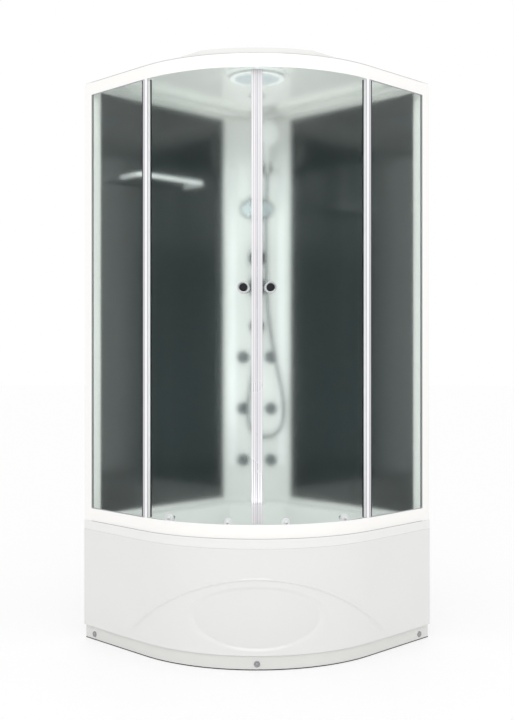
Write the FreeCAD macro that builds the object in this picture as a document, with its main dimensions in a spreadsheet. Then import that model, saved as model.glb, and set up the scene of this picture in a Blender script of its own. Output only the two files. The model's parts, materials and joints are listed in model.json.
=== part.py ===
import FreeCAD, Part
import math
import os
import Sketcher

# Corner shower cabin, millimetres.  +Z is up, the round front faces -Y and the two walls meet
# at +Y.  Outlines in plan are drawn in the corner frame: its origin is the corner of the walls,
# its X runs along the left wall and its Y along the right wall.

Vec = FreeCAD.Vector
UP = Vec(0, 0, 1)
os.makedirs("parts", exist_ok=True)
doc = FreeCAD.newDocument("ShowerCabin")
sheet = doc.addObject("Spreadsheet::Sheet", "Sizes")

SIZES = {
    # plan of the quadrant
    "side": 900, "bend": 550, "plinth_inset": 9, "rail_inset": 3,
    # heights, each measured from the piece below or above it
    "plinth_height": 50, "apron_height": 352, "rim_height": 32, "upstand_height": 16,
    "frame_height": 1604, "lower_face": 47, "upper_face": 46, "roof_skirt": 22,
    "dome_rise": 29, "fan_height": 83,
    # tray
    "skin": 5, "basin_depth": 294, "basin_wall_margin": 75, "basin_front_margin": 60,
    "basin_rear_cut": 311, "basin_corner_radius": 90, "basin_draft": 5, "upstand_width": 14,
    # drain
    "drain_diag": 400, "drain_hole": 26, "drain_flange": 16, "drain_lip": 2, "drain_wall": 5,
    "trap_radius": 52, "trap_wall": 4, "trap_depth": 86, "collar_radius": 25,
    "collar_length": 6, "spigot_radius": 20,
    "spigot_wall": 3, "spigot_length": 60, "spigot_rise": 24, "bush_drop": 12,
    "bush_height": 12, "bush_bar": 6, "bush_radius": 9, "plug_over": 7, "plug_edge": 2,
    "plug_rise": 6, "plug_bevel": 8,
    # frame under the tray
    "tube": 30, "spine_offset": 110, "spine_rear": 125, "spine_setback": 115, "cross_diag": 620,
    "cross_reach": 440, "foot_radius": 25, "foot_pad": 8, "stud_radius": 6, "nut_radius": 11,
    "nut_height": 10,
    # apron and plinth
    "apron_skin": 6, "relief_depth": 2, "arch_rise": 242, "arch_half": 455, "arch_lift": 8,
    "plinth_skin": 4, "hem_lap": 1, "cap_radius": 10.5, "cap_height": 21, "cap_depth": 3,
    "cap_tip": 53,
    # aluminium frame
    "fascia": 2, "rail_depth": 50, "rail_web": 2.5, "post_width": 42, "post_depth": 28,
    "post_wall": 2.5, "track_rise": 36, "track_outer": 14, "track_inner": 46,
    "track_plate": 2, "track_leg": 2, "leg_outer": 22, "leg_inner": 36, "shelf_drop": 30,
    "shelf_inner": 32,
    # fixed glass and its free edge
    "pane": 5, "pane_post_bite": 14, "pane_edge": 350, "profile_from": 344,
    "profile_width": 16, "profile_depth": 12.5, "slot_gap": 0.2,
    # doors
    "door_outer": 45, "door_clear": 2, "door_head_gap": 1.5, "door_rear": -4.4,
    "door_front": 44.3, "strip_front": 44.98, "strip_span": 2.07, "strip_proud": 3,
    "strip_over": 3, "strip_slot": 0.03, "seal_span": 1.4, "seal_lip": 0.4,
    "wheel_outer": 26, "wheel_width": 12, "wheel_bevel": 1.5, "wheel_rear": 9.9,
    "wheel_front": 34.3, "wheel_top_radius": 12, "wheel_bottom_radius": 14,
    "wheel_bore": 3.05, "axle_radius": 3, "axle_head": 7, "axle_head_depth": 4,
    "axle_cap": 5, "axle_cap_depth": 2, "axle_gap": 0.4, "axle_hole": 3.3,
    "knob_radius": 19.5, "knob_lateral": 43.7, "knob_rise": 832, "knob_depth": 24,
    "knob_stem": 5, "knob_hole": 5.3, "knob_neck": 9, "knob_rim": 3, "knob_foot": 5,
    # rear walls
    "wall_glass": 6, "wall_gap": 3, "trim_gap": 2, "trim_width": 24, "trim_skin": 3,
    "trim_bite": 10, "trim_inset": 1,
    # corner column
    "column_leg": 205, "column_skin": 5, "panel_half": 84, "panel_sink": 5,
    "panel_margin": 44, "panel_over": 2, "panel_lap": 6, "column_flange": 26,
    "flange_skin": 3, "column_gap": 1,
    # jets
    "jet_lateral": 57.4, "jet_rise": 170, "jet_pitch": 213, "bezel_radius": 25,
    "bezel_depth": 8, "bezel_bevel": 3, "body_radius": 16.5, "body_length": 30,
    "body_hole": 16.8, "ball": 14, "ball_gap": 0.3, "ball_back": 0.5, "ball_flat": 10.5,
    "ball_bore": 4, "pipe_radius": 9, "pipe_depth": 46, "pipe_tail": 20,
    # valves
    "mixer_drop": 715, "diverter_rise": 120, "outlet_drop": 164, "plate_depth": 6,
    "mixer_plate": 40, "diverter_plate": 35, "cap_body": 27, "cap_length": 30,
    "cap_bevel": 4, "cap_slot": 14, "slot_above": 8, "spindle": 8, "spindle_gap": 0.05,
    "spindle_length": 18, "spindle_hole": 14, "lever_width": 16, "lever_drop": 88,
    "lever_thick": 7, "lever_seat": 9, "lever_over": 2, "lever_root": 3, "knob_grip": 32,
    "knob_grip_depth": 30, "knob_skirt": 8, "knob_waist": 24, "knob_bevel": 3,
    "valve_half": 75, "valve_depth": 24, "valve_back": 66, "valve_margin": 33,
    "inlet_radius": 10.5, "inlet_length": 60, "inlet_spacing": 50, "inlet_behind": 12,
    # hose outlet
    "outlet_plate": 30, "rose_depth": 5, "outlet_tail": 35, "neck_radius": 13,
    "knee_radius": 14, "nut_outer": 11, "spigot_drop": 37, "spigot_reach": 32,
    # mirror
    "mirror_drop": 392, "mirror_half_width": 70.5, "mirror_half_height": 44,
    "mirror_end": 34, "mirror_ring": 6, "mirror_depth": 8, "mirror_glass": 5,
    # hand shower, its holder and its hose
    "holder_drop": 210, "holder_height": 40, "holder_lateral": 42, "holder_wall": 5,
    "holder_arm": 18, "arm_trim": 8, "holder_plate": 22, "holder_mouth": 17,
    "handle_reach": 50, "handle_below": 3, "handle_length": 127, "handle_low": 11,
    "handle_high": 13, "handle_gap": 0.4, "head_rise": 38, "head_shift": 6,
    "head_forward": 14, "head_half_width": 40, "head_half_height": 51.5, "head_end": 33,
    "head_depth": 20, "hose_radius": 7,
    # roof
    "flange": 4, "roof_inset": 6, "dome_front": 24, "dome_wall": 65,
    "dome_corner_radius": 90, "roof_skin": 4, "roof_round": 24, "skirt_gap": 1,
    # rain shower
    "rain_diag": 680, "rain_radius": 102, "rain_below": 13, "rain_depth": 10,
    "rain_edge": 3, "rain_slope": 4, "rain_crown": 30, "rain_neck": 12, "rain_nut": 20,
    "rain_nut_depth": 9, "rain_stud": 43,
    # fan
    "fan_diag": 366, "fan_grille": 34, "fan_half": 50, "fan_wall": 3, "fan_hole": 30,
    "fan_lip": 2, "grille_depth": 2.8, "grille_bar": 3, "grille_pitch": 10,
    "rotor_radius": 40, "rotor_hub": 14, "rotor_rise": 17, "rotor_height": 26,
    "rotor_pin": 3, "rotor_boss": 5, "boss_gap": 1, "pin_gap": 2, "blade_thick": 2,
    "blade_half": 8, "blade_count": 7,
    # shelf on the left wall
    "shelf_clear": 127, "shelf_width": 326, "shelf_depth": 118, "shelf_fall": 316,
    "shelf_rim": 6, "shelf_rim_height": 16, "shelf_glass": 6, "shelf_ledge": 4,
    "shelf_recess": 1, "shelf_round": 26,
    # steam generator
    "steam_half": 75, "steam_near": 105, "steam_far": 185, "steam_height": 250,
    "steam_pipe": 8, "steam_pipe_diag": 120, "steam_below": 60, "steam_rose": 19,
    "steam_rose_depth": 6, "steam_nose": 11, "steam_nose_depth": 16,
}


class Size:
    """A number together with the sheet formula that gives it."""

    def __init__(self, value, text):
        self.value = float(value)
        self.text = text

    def combine(self, other, sign, value, swap=False):
        first, second = self.text, Size.of(other).text
        if swap:
            first, second = second, first
        return Size(value, "(%s %s %s)" % (first, sign, second))

    @staticmethod
    def of(number):
        return number if isinstance(number, Size) else Size(number, repr(float(number)))

    def __float__(self):
        return self.value

    def __add__(self, other):
        return self.combine(other, "+", self.value + float(other))

    def __radd__(self, other):
        return self.combine(other, "+", float(other) + self.value, True)

    def __sub__(self, other):
        return self.combine(other, "-", self.value - float(other))

    def __rsub__(self, other):
        return self.combine(other, "-", float(other) - self.value, True)

    def __mul__(self, other):
        return self.combine(other, "*", self.value * float(other))

    def __rmul__(self, other):
        return self.combine(other, "*", float(other) * self.value, True)

    def __truediv__(self, other):
        return self.combine(other, "/", self.value / float(other))

    def __neg__(self):
        return Size(-self.value, "(-1 * %s)" % self.text)


def cosine(angle):
    angle = Size.of(angle)
    return Size(math.cos(math.radians(angle.value)), "cos(%s * 1deg)" % angle.text)


def sine(angle):
    angle = Size.of(angle)
    return Size(math.sin(math.radians(angle.value)), "sin(%s * 1deg)" % angle.text)


def root(number):
    number = Size.of(number)
    return Size(math.sqrt(number.value), "sqrt(%s)" % number.text)


class Sheet:
    """Gives each cell of the sheet as a Size, by its alias."""


z = Sheet()
for row, (alias, number) in enumerate(SIZES.items(), start=1):
    sheet.set("A%d" % row, str(number))
    sheet.setAlias("A%d" % row, alias)
    setattr(z, alias, Size(number, "Sizes." + alias))
doc.recompute()

ROOT2 = math.sqrt(2)
centre = z.side - z.bend                   # both coordinates of the centre of the front arc
reach = centre * ROOT2 + z.bend            # from the corner of the walls to the front
back = reach / 2                           # row Y of the corner of the walls
face_line = z.column_leg / ROOT2           # from the corner to the face of the column
face_y = back - face_line

trim_end = z.side - z.rail_inset - z.post_depth - z.trim_gap
glass_end = trim_end - z.trim_width        # free edge of the rear glass
spine_front = reach - z.spine_setback

rim_base = z.plinth_height + z.apron_height
deck = rim_base + z.rim_height             # top of the tray's rim
floor_top = deck - z.basin_depth           # inside of the basin
wall_base = deck + z.upstand_height
frame_top = deck + z.frame_height
rail_sight = deck + z.lower_face           # where the glass shows above the lower rail
glass_sight = frame_top - z.upper_face
wall_top = frame_top - z.roof_skirt
roof_top = frame_top + z.dome_rise
ceiling = roof_top - z.roof_skin
top_of_all = roof_top + z.fan_height
track_base = deck + z.track_rise
shelf_top = frame_top - z.shelf_drop       # the shelf of the upper rail, where wheels run
knob_height = deck + z.knob_rise
jet_low = deck + z.jet_rise
mixer_height = frame_top - z.mixer_drop
diverter_height = mixer_height + z.diverter_rise
outlet_height = mixer_height - z.outlet_drop
valve_low = mixer_height - z.valve_margin
valve_high = diverter_height + z.valve_margin
mirror_height = frame_top - z.mirror_drop
holder_high = frame_top - z.holder_drop
holder_low = holder_high - z.holder_height
handle_base = holder_low - z.handle_below
handle_top = handle_base + z.handle_length
panel_low = jet_low - z.panel_margin
panel_high = holder_high + z.panel_over
steam_level = panel_low - z.steam_below


# ---------------------------------------------------------------- places

ROW = FreeCAD.Placement()
CORNER = FreeCAD.Placement(Vec(0, float(back), 0), FreeCAD.Rotation(UP, -135))


def upright(x, y, level):
    """A frame whose axis is vertical, at a place of the row frame."""
    return FreeCAD.Placement(Vec(float(x), float(y), float(level)), FreeCAD.Rotation())


def on_face(x, level):
    """A frame on the column's face: X to the right, Y up and Z out of the face."""
    turned = FreeCAD.Rotation(Vec(1, 0, 0), 90)
    return FreeCAD.Placement(Vec(float(x), float(face_y), float(level)), turned)


def radial(degrees, level):
    """A frame on the axis of the front arc: Z points out through the front, Y is up."""
    tilt = FreeCAD.Rotation(UP, degrees) * FreeCAD.Rotation(Vec(1, 0, 0), 90)
    axis_y = float(back - centre * ROOT2)
    return FreeCAD.Placement(Vec(0, axis_y, float(level)), tilt)


# ---------------------------------------------------------------- sketching

def new_body(label, place=ROW):
    body = doc.addObject("PartDesign::Body", label)
    body.Label = label
    body.Placement = place
    return body


def origin_part(body, role):
    return next(item for item in body.Origin.OriginFeatures if item.Role == role)


def bind(item, path, size):
    item.setExpression(path, Size.of(size).text)


def pin_point(sketch, geometry, end, x, y):
    """Ties one point of a sketch to its two coordinates."""
    for kind, axis, size in (("DistanceX", -2, Size.of(x)), ("DistanceY", -1, Size.of(y))):
        if abs(size.value) < 1e-9:
            sketch.addConstraint(Sketcher.Constraint("PointOnObject", geometry, end, axis))
            continue
        ends = (-1, 1, geometry, end) if size.value > 0 else (geometry, end, -1, 1)
        number = sketch.addConstraint(Sketcher.Constraint(kind, *ends, abs(size.value)))
        text = size.text if size.value > 0 else "-1 * " + size.text
        sketch.setExpression("Constraints[%d]" % number, text)


def set_radius(sketch, geometry, radius):
    radius = Size.of(radius)
    number = sketch.addConstraint(Sketcher.Constraint("Radius", geometry, radius.value))
    sketch.setExpression("Constraints[%d]" % number, radius.text)


def draw_circle(sketch, x, y, radius):
    circle = Part.Circle(Vec(float(x), float(y), 0), UP, float(radius))
    geometry = sketch.addGeometry(circle)
    pin_point(sketch, geometry, 3, x, y)
    set_radius(sketch, geometry, radius)


def draw_arc(sketch, start, end, radius, side):
    """An arc under a half circle from start to end, bulging right of its way for side +1."""
    one = Vec(float(start[0]), float(start[1]), 0)
    two = Vec(float(end[0]), float(end[1]), 0)
    way = two - one
    normal = Vec(-way.y, way.x, 0).normalize() * side
    rise = math.sqrt(float(radius) ** 2 - (way.Length / 2) ** 2)
    middle = (one + two) * 0.5 + normal * rise
    low, high = (one, two) if side > 0 else (two, one)
    angles = [math.atan2(point.y - middle.y, point.x - middle.x) for point in (low, high)]
    if angles[1] < angles[0]:
        angles[1] += 2 * math.pi
    circle = Part.Circle(middle, UP, float(radius))
    geometry = sketch.addGeometry(Part.ArcOfCircle(circle, *angles))
    set_radius(sketch, geometry, radius)
    return (geometry, 1, 2) if side > 0 else (geometry, 2, 1)


def draw_loop(sketch, points):
    """A closed outline: (x, y) starts a line, (x, y, radius, side) starts an arc."""
    drawn = []
    for index, point in enumerate(points):
        after = points[(index + 1) % len(points)]
        if len(point) == 4:
            drawn.append(draw_arc(sketch, point, after, point[2], point[3]))
            continue
        ends = [Vec(float(item[0]), float(item[1]), 0) for item in (point, after)]
        drawn.append((sketch.addGeometry(Part.LineSegment(*ends)), 1, 2))
    for index, (geometry, start, _) in enumerate(drawn):
        before = drawn[index - 1]
        joint = Sketcher.Constraint("Coincident", before[0], before[2], geometry, start)
        sketch.addConstraint(joint)
        pin_point(sketch, geometry, start, points[index][0], points[index][1])


def new_sketch(body, loops, level=0, plane="XY_Plane"):
    """A sketch of closed outlines; a loop of the form ("circle", x, y, radius) is a circle."""
    sketch = body.newObject("Sketcher::SketchObject", body.Label + "_sketch")
    sketch.AttachmentSupport = [(origin_part(body, plane), "")]
    sketch.MapMode = "FlatFace"
    level = Size.of(level)
    sketch.AttachmentOffset = FreeCAD.Placement(Vec(0, 0, level.value), FreeCAD.Rotation())
    bind(sketch, "AttachmentOffset.Base.z", level)
    for loop in loops:
        if loop[0] == "circle":
            draw_circle(sketch, *loop[1:])
        else:
            draw_loop(sketch, loop)
    return sketch


def pad(body, loops, low, high, draft=None):
    """Material over the outlines from one level to another."""
    feature = body.newObject("PartDesign::Pad", body.Label + "_pad")
    feature.Profile = new_sketch(body, loops, low)
    bind(feature, "Length", high - low)
    if draft is not None:
        bind(feature, "TaperAngle", draft)
    return feature


def cut(body, loops, low, high, draft=None):
    """A pocket over the outlines, sunk from the high level down to the low one."""
    doc.recompute()
    before = body.Shape.Volume
    feature = body.newObject("PartDesign::Pocket", body.Label + "_pocket")
    feature.Profile = new_sketch(body, loops, high)
    bind(feature, "Length", high - low)
    if draft is not None:
        bind(feature, "TaperAngle", draft)
    doc.recompute()
    if body.Shape.Volume >= before:
        raise ValueError(body.Label + ": a pocket cuts nothing")
    return feature


def turn(body, points, kind="PartDesign::Revolution"):
    """Turns a profile of (radius, height) points about the body's Z axis."""
    doc.recompute()
    before = body.Shape.Volume if body.Tip else 0
    feature = body.newObject(kind, body.Label + "_turn")
    feature.Profile = new_sketch(body, [points], 0, "XZ_Plane")
    feature.ReferenceAxis = (origin_part(body, "Z_Axis"), [""])
    feature.Angle = 360
    doc.recompute()
    if kind == "PartDesign::Groove" and body.Shape.Volume >= before:
        raise ValueError(body.Label + ": a groove cuts nothing")
    return feature


def round_edges(body, radius, level, tall=None):
    """Rounds every edge that lies at one level, or that spans two levels."""
    doc.recompute()
    base = body.Tip
    ends = (float(level), float(level if tall is None else tall))
    names = []
    for number, edge in enumerate(base.Shape.Edges, start=1):
        box = edge.BoundBox
        if abs(box.ZMin - ends[0]) < 1e-4 and abs(box.ZMax - ends[1]) < 1e-4:
            names.append("Edge%d" % number)
    feature = body.newObject("PartDesign::Fillet", body.Label + "_round")
    feature.Base = (base, names)
    bind(feature, "Radius", radius)
    doc.recompute()
    return feature


def plain(label, shape, place=ROW):
    """A sub-part whose shape is made directly."""
    item = doc.addObject("Part::Feature", label)
    item.Label = label
    item.Shape = shape
    item.Placement = place
    return item


made = []


def keep(*items):
    made.extend(items)


# ---------------------------------------------------------------- outlines

def quadrant(inset, start=0):
    """The whole plan, drawn in by the inset along its straight sides and its arc."""
    edge = z.side - inset
    start = Size.of(start)
    return [(start, start), (edge, start), (edge, centre, z.bend - inset, 1),
            (centre, edge), (start, edge)]


def band(outer, inner, start):
    """A strip that follows the front between two insets, with its ends at start."""
    out, inn = z.side - outer, z.side - inner
    return [(out, start), (out, centre, z.bend - outer, 1), (centre, out), (start, out),
            (start, inn), (centre, inn, z.bend - inner, -1), (inn, centre), (inn, start)]


def arc_band(outer, inner, low, high):
    """A strip of the front arc between two insets and two angles, for the left door."""
    radii = (z.bend - outer, z.bend - inner)
    spots = [(radii[0], low), (radii[0], high), (radii[1], high), (radii[1], low)]
    corners = [(centre + r * cosine(a), centre + r * sine(a)) for r, a in spots]
    return [corners[0] + (radii[0], 1), corners[1], corners[2] + (radii[1], -1), corners[3]]


def rectangle(x0, y0, x1, y1):
    return [(x0, y0), (x1, y0), (x1, y1), (x0, y1)]


def flip(loop):
    """The same outline on the other side of the diagonal."""
    return [(p[1], p[0]) if len(p) == 2 else (p[1], p[0], p[2], -p[3]) for p in loop]


def sided(loop, side):
    return loop if side == "left" else flip(loop)


def oval(half_width, half_height, end):
    """Four tangent arcs: the two ends have the end radius."""
    run = half_width - end
    side = (run * run + half_height * half_height - end * end) / (2 * (half_height - end))
    slope = run / (side - end)
    x = side * slope
    y = side * root(1 - slope * slope) - (side - half_height)
    return [(x, -y, end, 1), (x, y, side, 1), (-x, y, end, 1), (-x, -y, side, 1)]


def circle(x, y, radius):
    return ("circle", x, y, radius)


def box_shape(x0, x1, y0, y1, z0, z1):
    """A plain block between two corners."""
    x0, x1, y0, y1, z0, z1 = (float(item) for item in (x0, x1, y0, y1, z0, z1))
    return Part.makeBox(x1 - x0, y1 - y0, z1 - z0, Vec(x0, y0, z0))


def rod(radius, start, end):
    """A cylinder between two points."""
    way = end - start
    return Part.makeCylinder(float(radius), way.Length, start, way)


# ---------------------------------------------------------------- tray and base

def basin(grow):
    """The basin's outline at the deck, larger by grow on every side."""
    wall = z.basin_wall_margin - grow
    front = z.side - z.basin_front_margin + grow
    turn_radius = z.basin_corner_radius + grow
    arc = z.bend - z.basin_front_margin + grow
    rear = z.basin_rear_cut - grow * ROOT2 - wall
    return [(rear, wall), (front - turn_radius, wall, turn_radius, 1),
            (front, wall + turn_radius), (front, centre, arc, 1), (centre, front),
            (wall + turn_radius, front, turn_radius, 1), (wall, front - turn_radius),
            (wall, rear)]


def make_tray():
    body = new_body("tray", CORNER)
    under_deck = deck - z.skin
    pad(body, [quadrant(0)], rim_base, deck)
    cut(body, [quadrant(z.skin, z.skin)], rim_base, under_deck)
    outer = floor_top - z.skin
    # the basin narrows downwards, so it is drawn at the deck and padded down
    lower = pad(body, [basin(z.skin)], under_deck, under_deck * 2 - outer, -z.basin_draft)
    lower.Reversed = True
    cut(body, [basin(0)], floor_top, deck, -z.basin_draft)
    strip = z.upstand_width
    far = z.side - z.post_depth - z.rail_inset
    for side in ("left", "right"):
        upstand = rectangle(z.column_leg, 0, far, strip)
        pad(body, [sided(upstand, side)], deck, wall_base)
    drain = z.drain_diag / ROOT2
    cut(body, [circle(drain, drain, z.drain_hole)], outer, floor_top)
    pipe = z.steam_pipe_diag / ROOT2
    cut(body, [circle(pipe, pipe, z.steam_pipe + z.ball_gap)], under_deck, deck)
    keep(body)


def frame_box(x0, x1, near, far, low, high):
    """A block placed by its distance from the corner along the diagonal."""
    return box_shape(x0, x1, back - far, back - near, low, high)


def make_tray_frame():
    top = floor_top - z.skin
    low = top - z.tube
    half = z.tube / 2
    inner = z.spine_offset - half
    outer = z.spine_offset + half
    pieces = []
    for sign in (-1, 1):
        spans = sorted((float(sign * inner), float(sign * outer)))
        pieces.append(frame_box(*spans, z.spine_rear, spine_front, low, top))
        spans = sorted((float(sign * outer), float(sign * z.cross_reach)))
        near, far = z.cross_diag - half, z.cross_diag + half
        pieces.append(frame_box(*spans, near, far, low, top))
    rear = z.spine_rear + z.tube
    pieces.append(frame_box(-inner, inner, z.spine_rear, rear, low, top))
    front = spine_front - z.tube
    pieces.append(frame_box(-inner, inner, front, spine_front, low, top))
    keep(plain("tray_frame", Part.makeCompound(pieces)))


def foot_spots():
    """The six feet, as row X and distance from the corner."""
    half = z.tube / 2
    spots = []
    for sign in (-1, 1):
        spots.append((sign * z.spine_offset, z.spine_rear + half))
        spots.append((sign * z.spine_offset, spine_front - half))
        spots.append((sign * (z.cross_reach - z.tube), z.cross_diag))
    return spots


def make_feet():
    low = float(floor_top - z.skin - z.tube)
    feet = []
    for x, diag in foot_spots():
        spot = Vec(float(x), float(back - diag), 0)
        pad_disc = Part.makeCylinder(float(z.foot_radius), float(z.foot_pad), spot)
        stud = Part.makeCylinder(float(z.stud_radius), low, spot)
        ring = [spot + Vec(float(z.nut_radius) * math.cos(math.radians(60 * k)),
                           float(z.nut_radius) * math.sin(math.radians(60 * k)),
                           low - float(z.nut_height)) for k in range(7)]
        nut = Part.Face(Part.makePolygon(ring)).extrude(UP * float(z.nut_height))
        feet.append(pad_disc.fuse([stud, nut]).removeSplitter())
    keep(plain("levelling_feet", Part.makeCompound(feet)))


def make_drain():
    """The waste with its trap and spigot, and the push plug that runs in its cross bar."""
    place = upright(0, back - z.drain_diag, 0)
    body = new_body("drain_body", place)
    lip_top = floor_top + z.drain_lip
    throat, neck = z.drain_hole - z.drain_wall, z.drain_hole - z.ball_gap
    outer, inner = z.trap_radius, z.trap_radius - z.trap_wall
    high, low = floor_top - z.skin - z.trap_wall, floor_top - z.trap_depth
    turn(body, [(throat, lip_top), (z.drain_hole + z.drain_flange, lip_top),
                (z.drain_hole + z.drain_flange, floor_top), (neck, floor_top), (neck, high),
                (outer, high), (outer, low), (0, low), (0, low + z.trap_wall),
                (inner, low + z.trap_wall), (inner, high - z.trap_wall),
                (throat, high - z.trap_wall)])
    bar, half = throat + z.drain_lip, z.bush_bar / 2
    bush_top = floor_top - z.bush_drop
    bush_low = bush_top - z.bush_height
    pad(body, [rectangle(-bar, -half, bar, half)], bush_low, bush_top)
    pad(body, [circle(0, 0, z.bush_radius)], bush_low, bush_top)
    cut(body, [circle(0, 0, z.axle_radius + z.spindle_gap)], bush_low, bush_top)
    level = float(low + z.spigot_rise)
    start = Vec(0, float(inner - z.drain_lip), level)
    collar_end = z.trap_radius + z.collar_length
    end = Vec(0, float(collar_end + z.spigot_length), level)
    collar = rod(z.collar_radius, start, Vec(0, float(collar_end), level))
    pipe = plain("drain_spigot", collar.fuse(rod(z.spigot_radius, start, end)), place)
    joined = doc.addObject("Part::Fuse", "drain_joined")
    joined.Base, joined.Tool = body, pipe
    start = Vec(0, float(inner - z.collar_radius), level)
    bore = plain("drain_bore", rod(z.spigot_radius - z.spigot_wall, start, end), place)
    waste = doc.addObject("Part::Cut", "drain_waste")
    waste.Base, waste.Tool = joined, bore
    waste.Label = "drain_waste"
    keep(waste)
    plug = new_body("drain_plug", place)
    seat, cap, foot = lip_top + z.ball_gap, z.drain_hole + z.plug_over, bush_low - z.plug_rise
    turn(plug, [(0, foot), (z.axle_radius, foot), (z.axle_radius, seat), (cap, seat),
                (cap, seat + z.plug_edge), (cap - z.plug_bevel, seat + z.plug_rise - 1),
                (0, seat + z.plug_rise)])
    keep(plug)


def apron_arch(depth_line):
    """The prism under the arch of the apron, seen from the front."""
    half, base = float(z.arch_half), float(z.plinth_height + z.arch_lift)
    top = base + float(z.arch_rise)
    arc = Part.Arc(Vec(-half, depth_line, base), Vec(0, depth_line, top),
                   Vec(half, depth_line, base)).toShape()
    line = Part.LineSegment(Vec(half, depth_line, base), Vec(-half, depth_line, base)).toShape()
    return Part.Face(Part.Wire([arc, line])).extrude(Vec(0, float(reach), 0))


def make_apron():
    shell = new_body("apron_shell", CORNER)
    pad(shell, [band(0, z.apron_skin, 0)], z.plinth_height, rim_base)
    hem = z.plinth_inset + z.plinth_skin + z.hem_lap
    pad(shell, [band(z.apron_skin, hem, 0)], z.plinth_height, z.plinth_height + z.plinth_skin)
    skin = new_body("apron_relief_skin", CORNER)
    pad(skin, [band(-z.apron_skin, z.relief_depth, 0)], z.plinth_height, rim_base)
    arch = plain("apron_arch", apron_arch(-float(reach)))
    relief = doc.addObject("Part::Common", "apron_relief")
    relief.Base, relief.Tool = skin, arch
    apron = doc.addObject("Part::Cut", "apron")
    apron.Base, apron.Tool = shell, relief
    apron.Label = "apron"
    keep(apron)


def make_plinth():
    body = new_body("plinth", CORNER)
    inner = z.plinth_inset + z.plinth_skin
    pad(body, [band(z.plinth_inset, inner, 0)], Size.of(0), z.plinth_height)
    keep(body)
    screws = []
    front = Vec(0, float(back - reach + z.plinth_inset), float(z.cap_height))
    places = [(front, Vec(0, -1, 0))]
    for sign in (-1, 1):
        along, across = float(z.cap_tip), float(z.side - z.plinth_inset)
        x = sign * (across - along) / ROOT2
        y = float(back) - (across + along) / ROOT2
        places.append((Vec(x, y, float(z.cap_height)), Vec(sign, -1, 0).normalize()))
    for spot, way in places:
        head = Part.makeCylinder(float(z.cap_radius), float(z.cap_depth),
                                 spot + way * float(z.ball_gap), way)
        screws.append(head)
    keep(plain("plinth_screws", Part.makeCompound(screws)))


# ---------------------------------------------------------------- aluminium frame

def make_lower_rail():
    body = new_body("lower_rail", CORNER)
    face = z.rail_inset
    skin = face + z.fascia
    web_top = deck + z.rail_web
    start = z.post_width
    pad(body, [band(face, skin, start)], deck, rail_sight)
    pad(body, [band(skin, z.rail_depth, start)], deck, web_top)
    plate_low = track_base - z.track_plate
    pad(body, [band(z.track_outer, z.track_inner, start)], plate_low, track_base)
    for leg in (z.leg_outer, z.leg_inner):
        pad(body, [band(leg, leg + z.track_leg, start)], web_top, plate_low)
    keep(body)


def make_upper_rail():
    body = new_body("upper_rail", CORNER)
    face = z.rail_inset
    skin = face + z.fascia
    start = z.post_width
    top = frame_top - z.rail_web
    pad(body, [band(face, skin, start)], glass_sight, frame_top)
    pad(body, [band(skin, z.rail_depth, start)], top, frame_top)
    shelf = shelf_top - z.track_plate
    pad(body, [band(skin + z.pane, z.shelf_inner, start)], shelf, shelf_top)
    leg = skin + z.pane + z.slot_gap
    pad(body, [band(leg, leg + z.track_leg, start)], shelf_top, top)
    keep(body)


def make_posts():
    face = z.rail_inset
    outer = z.side - face
    inner = outer - z.post_depth
    wall = z.post_wall
    pane = z.side - face - z.fascia
    lip = z.post_width - z.pane_post_bite
    pieces = []
    for side in ("left", "right"):
        body = new_body("post_" + side, CORNER)
        pad(body, [sided(rectangle(inner, 0, outer, z.post_width), side)], deck,
            frame_top)
        hollow = rectangle(inner + wall, wall, outer - wall, lip - wall)
        cut(body, [sided(hollow, side)], deck, frame_top)
        slot = rectangle(pane - z.pane - z.slot_gap, lip, pane, z.post_width)
        cut(body, [sided(slot, side)], deck, frame_top)
        pieces.append(body)
    doc.recompute()
    joined = doc.addObject("Part::Compound", "wall_posts")
    joined.Links = pieces
    joined.Label = "wall_posts"
    keep(joined)


def make_fixed_glass():
    outer = z.side - z.rail_inset - z.fascia
    lip = z.post_width - z.pane_post_bite
    for side in ("left", "right"):
        body = new_body("fixed_glass_" + side, CORNER)
        outline = rectangle(outer - z.pane, lip + z.ball_gap, outer, z.pane_edge)
        pad(body, [sided(outline, side)], deck + z.rail_web,
            frame_top - z.rail_web - z.slot_gap)
        keep(body)


def make_edge_profiles():
    outer = z.side - z.rail_inset
    inner = outer - z.profile_depth
    pane = outer - z.fascia
    pieces = []
    for side in ("left", "right"):
        body = new_body("profile_" + side, CORNER)
        outline = rectangle(inner, z.profile_from, outer, z.profile_from + z.profile_width)
        pad(body, [sided(outline, side)], rail_sight, glass_sight)
        slot = rectangle(pane - z.pane - z.slot_gap, z.profile_from, pane + z.slot_gap,
                         z.pane_edge + z.slot_gap)
        cut(body, [sided(slot, side)], rail_sight, glass_sight)
        pieces.append(body)
    doc.recompute()
    joined = doc.addObject("Part::Compound", "edge_profiles")
    joined.Links = pieces
    joined.Label = "edge_profiles"
    keep(joined)


# ---------------------------------------------------------------- doors

def knob_angle():
    """How far the knob stands from the diagonal, in degrees."""
    lever = float(z.bend - z.door_outer)
    return math.degrees(math.asin(float(z.knob_lateral) / lever))


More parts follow.
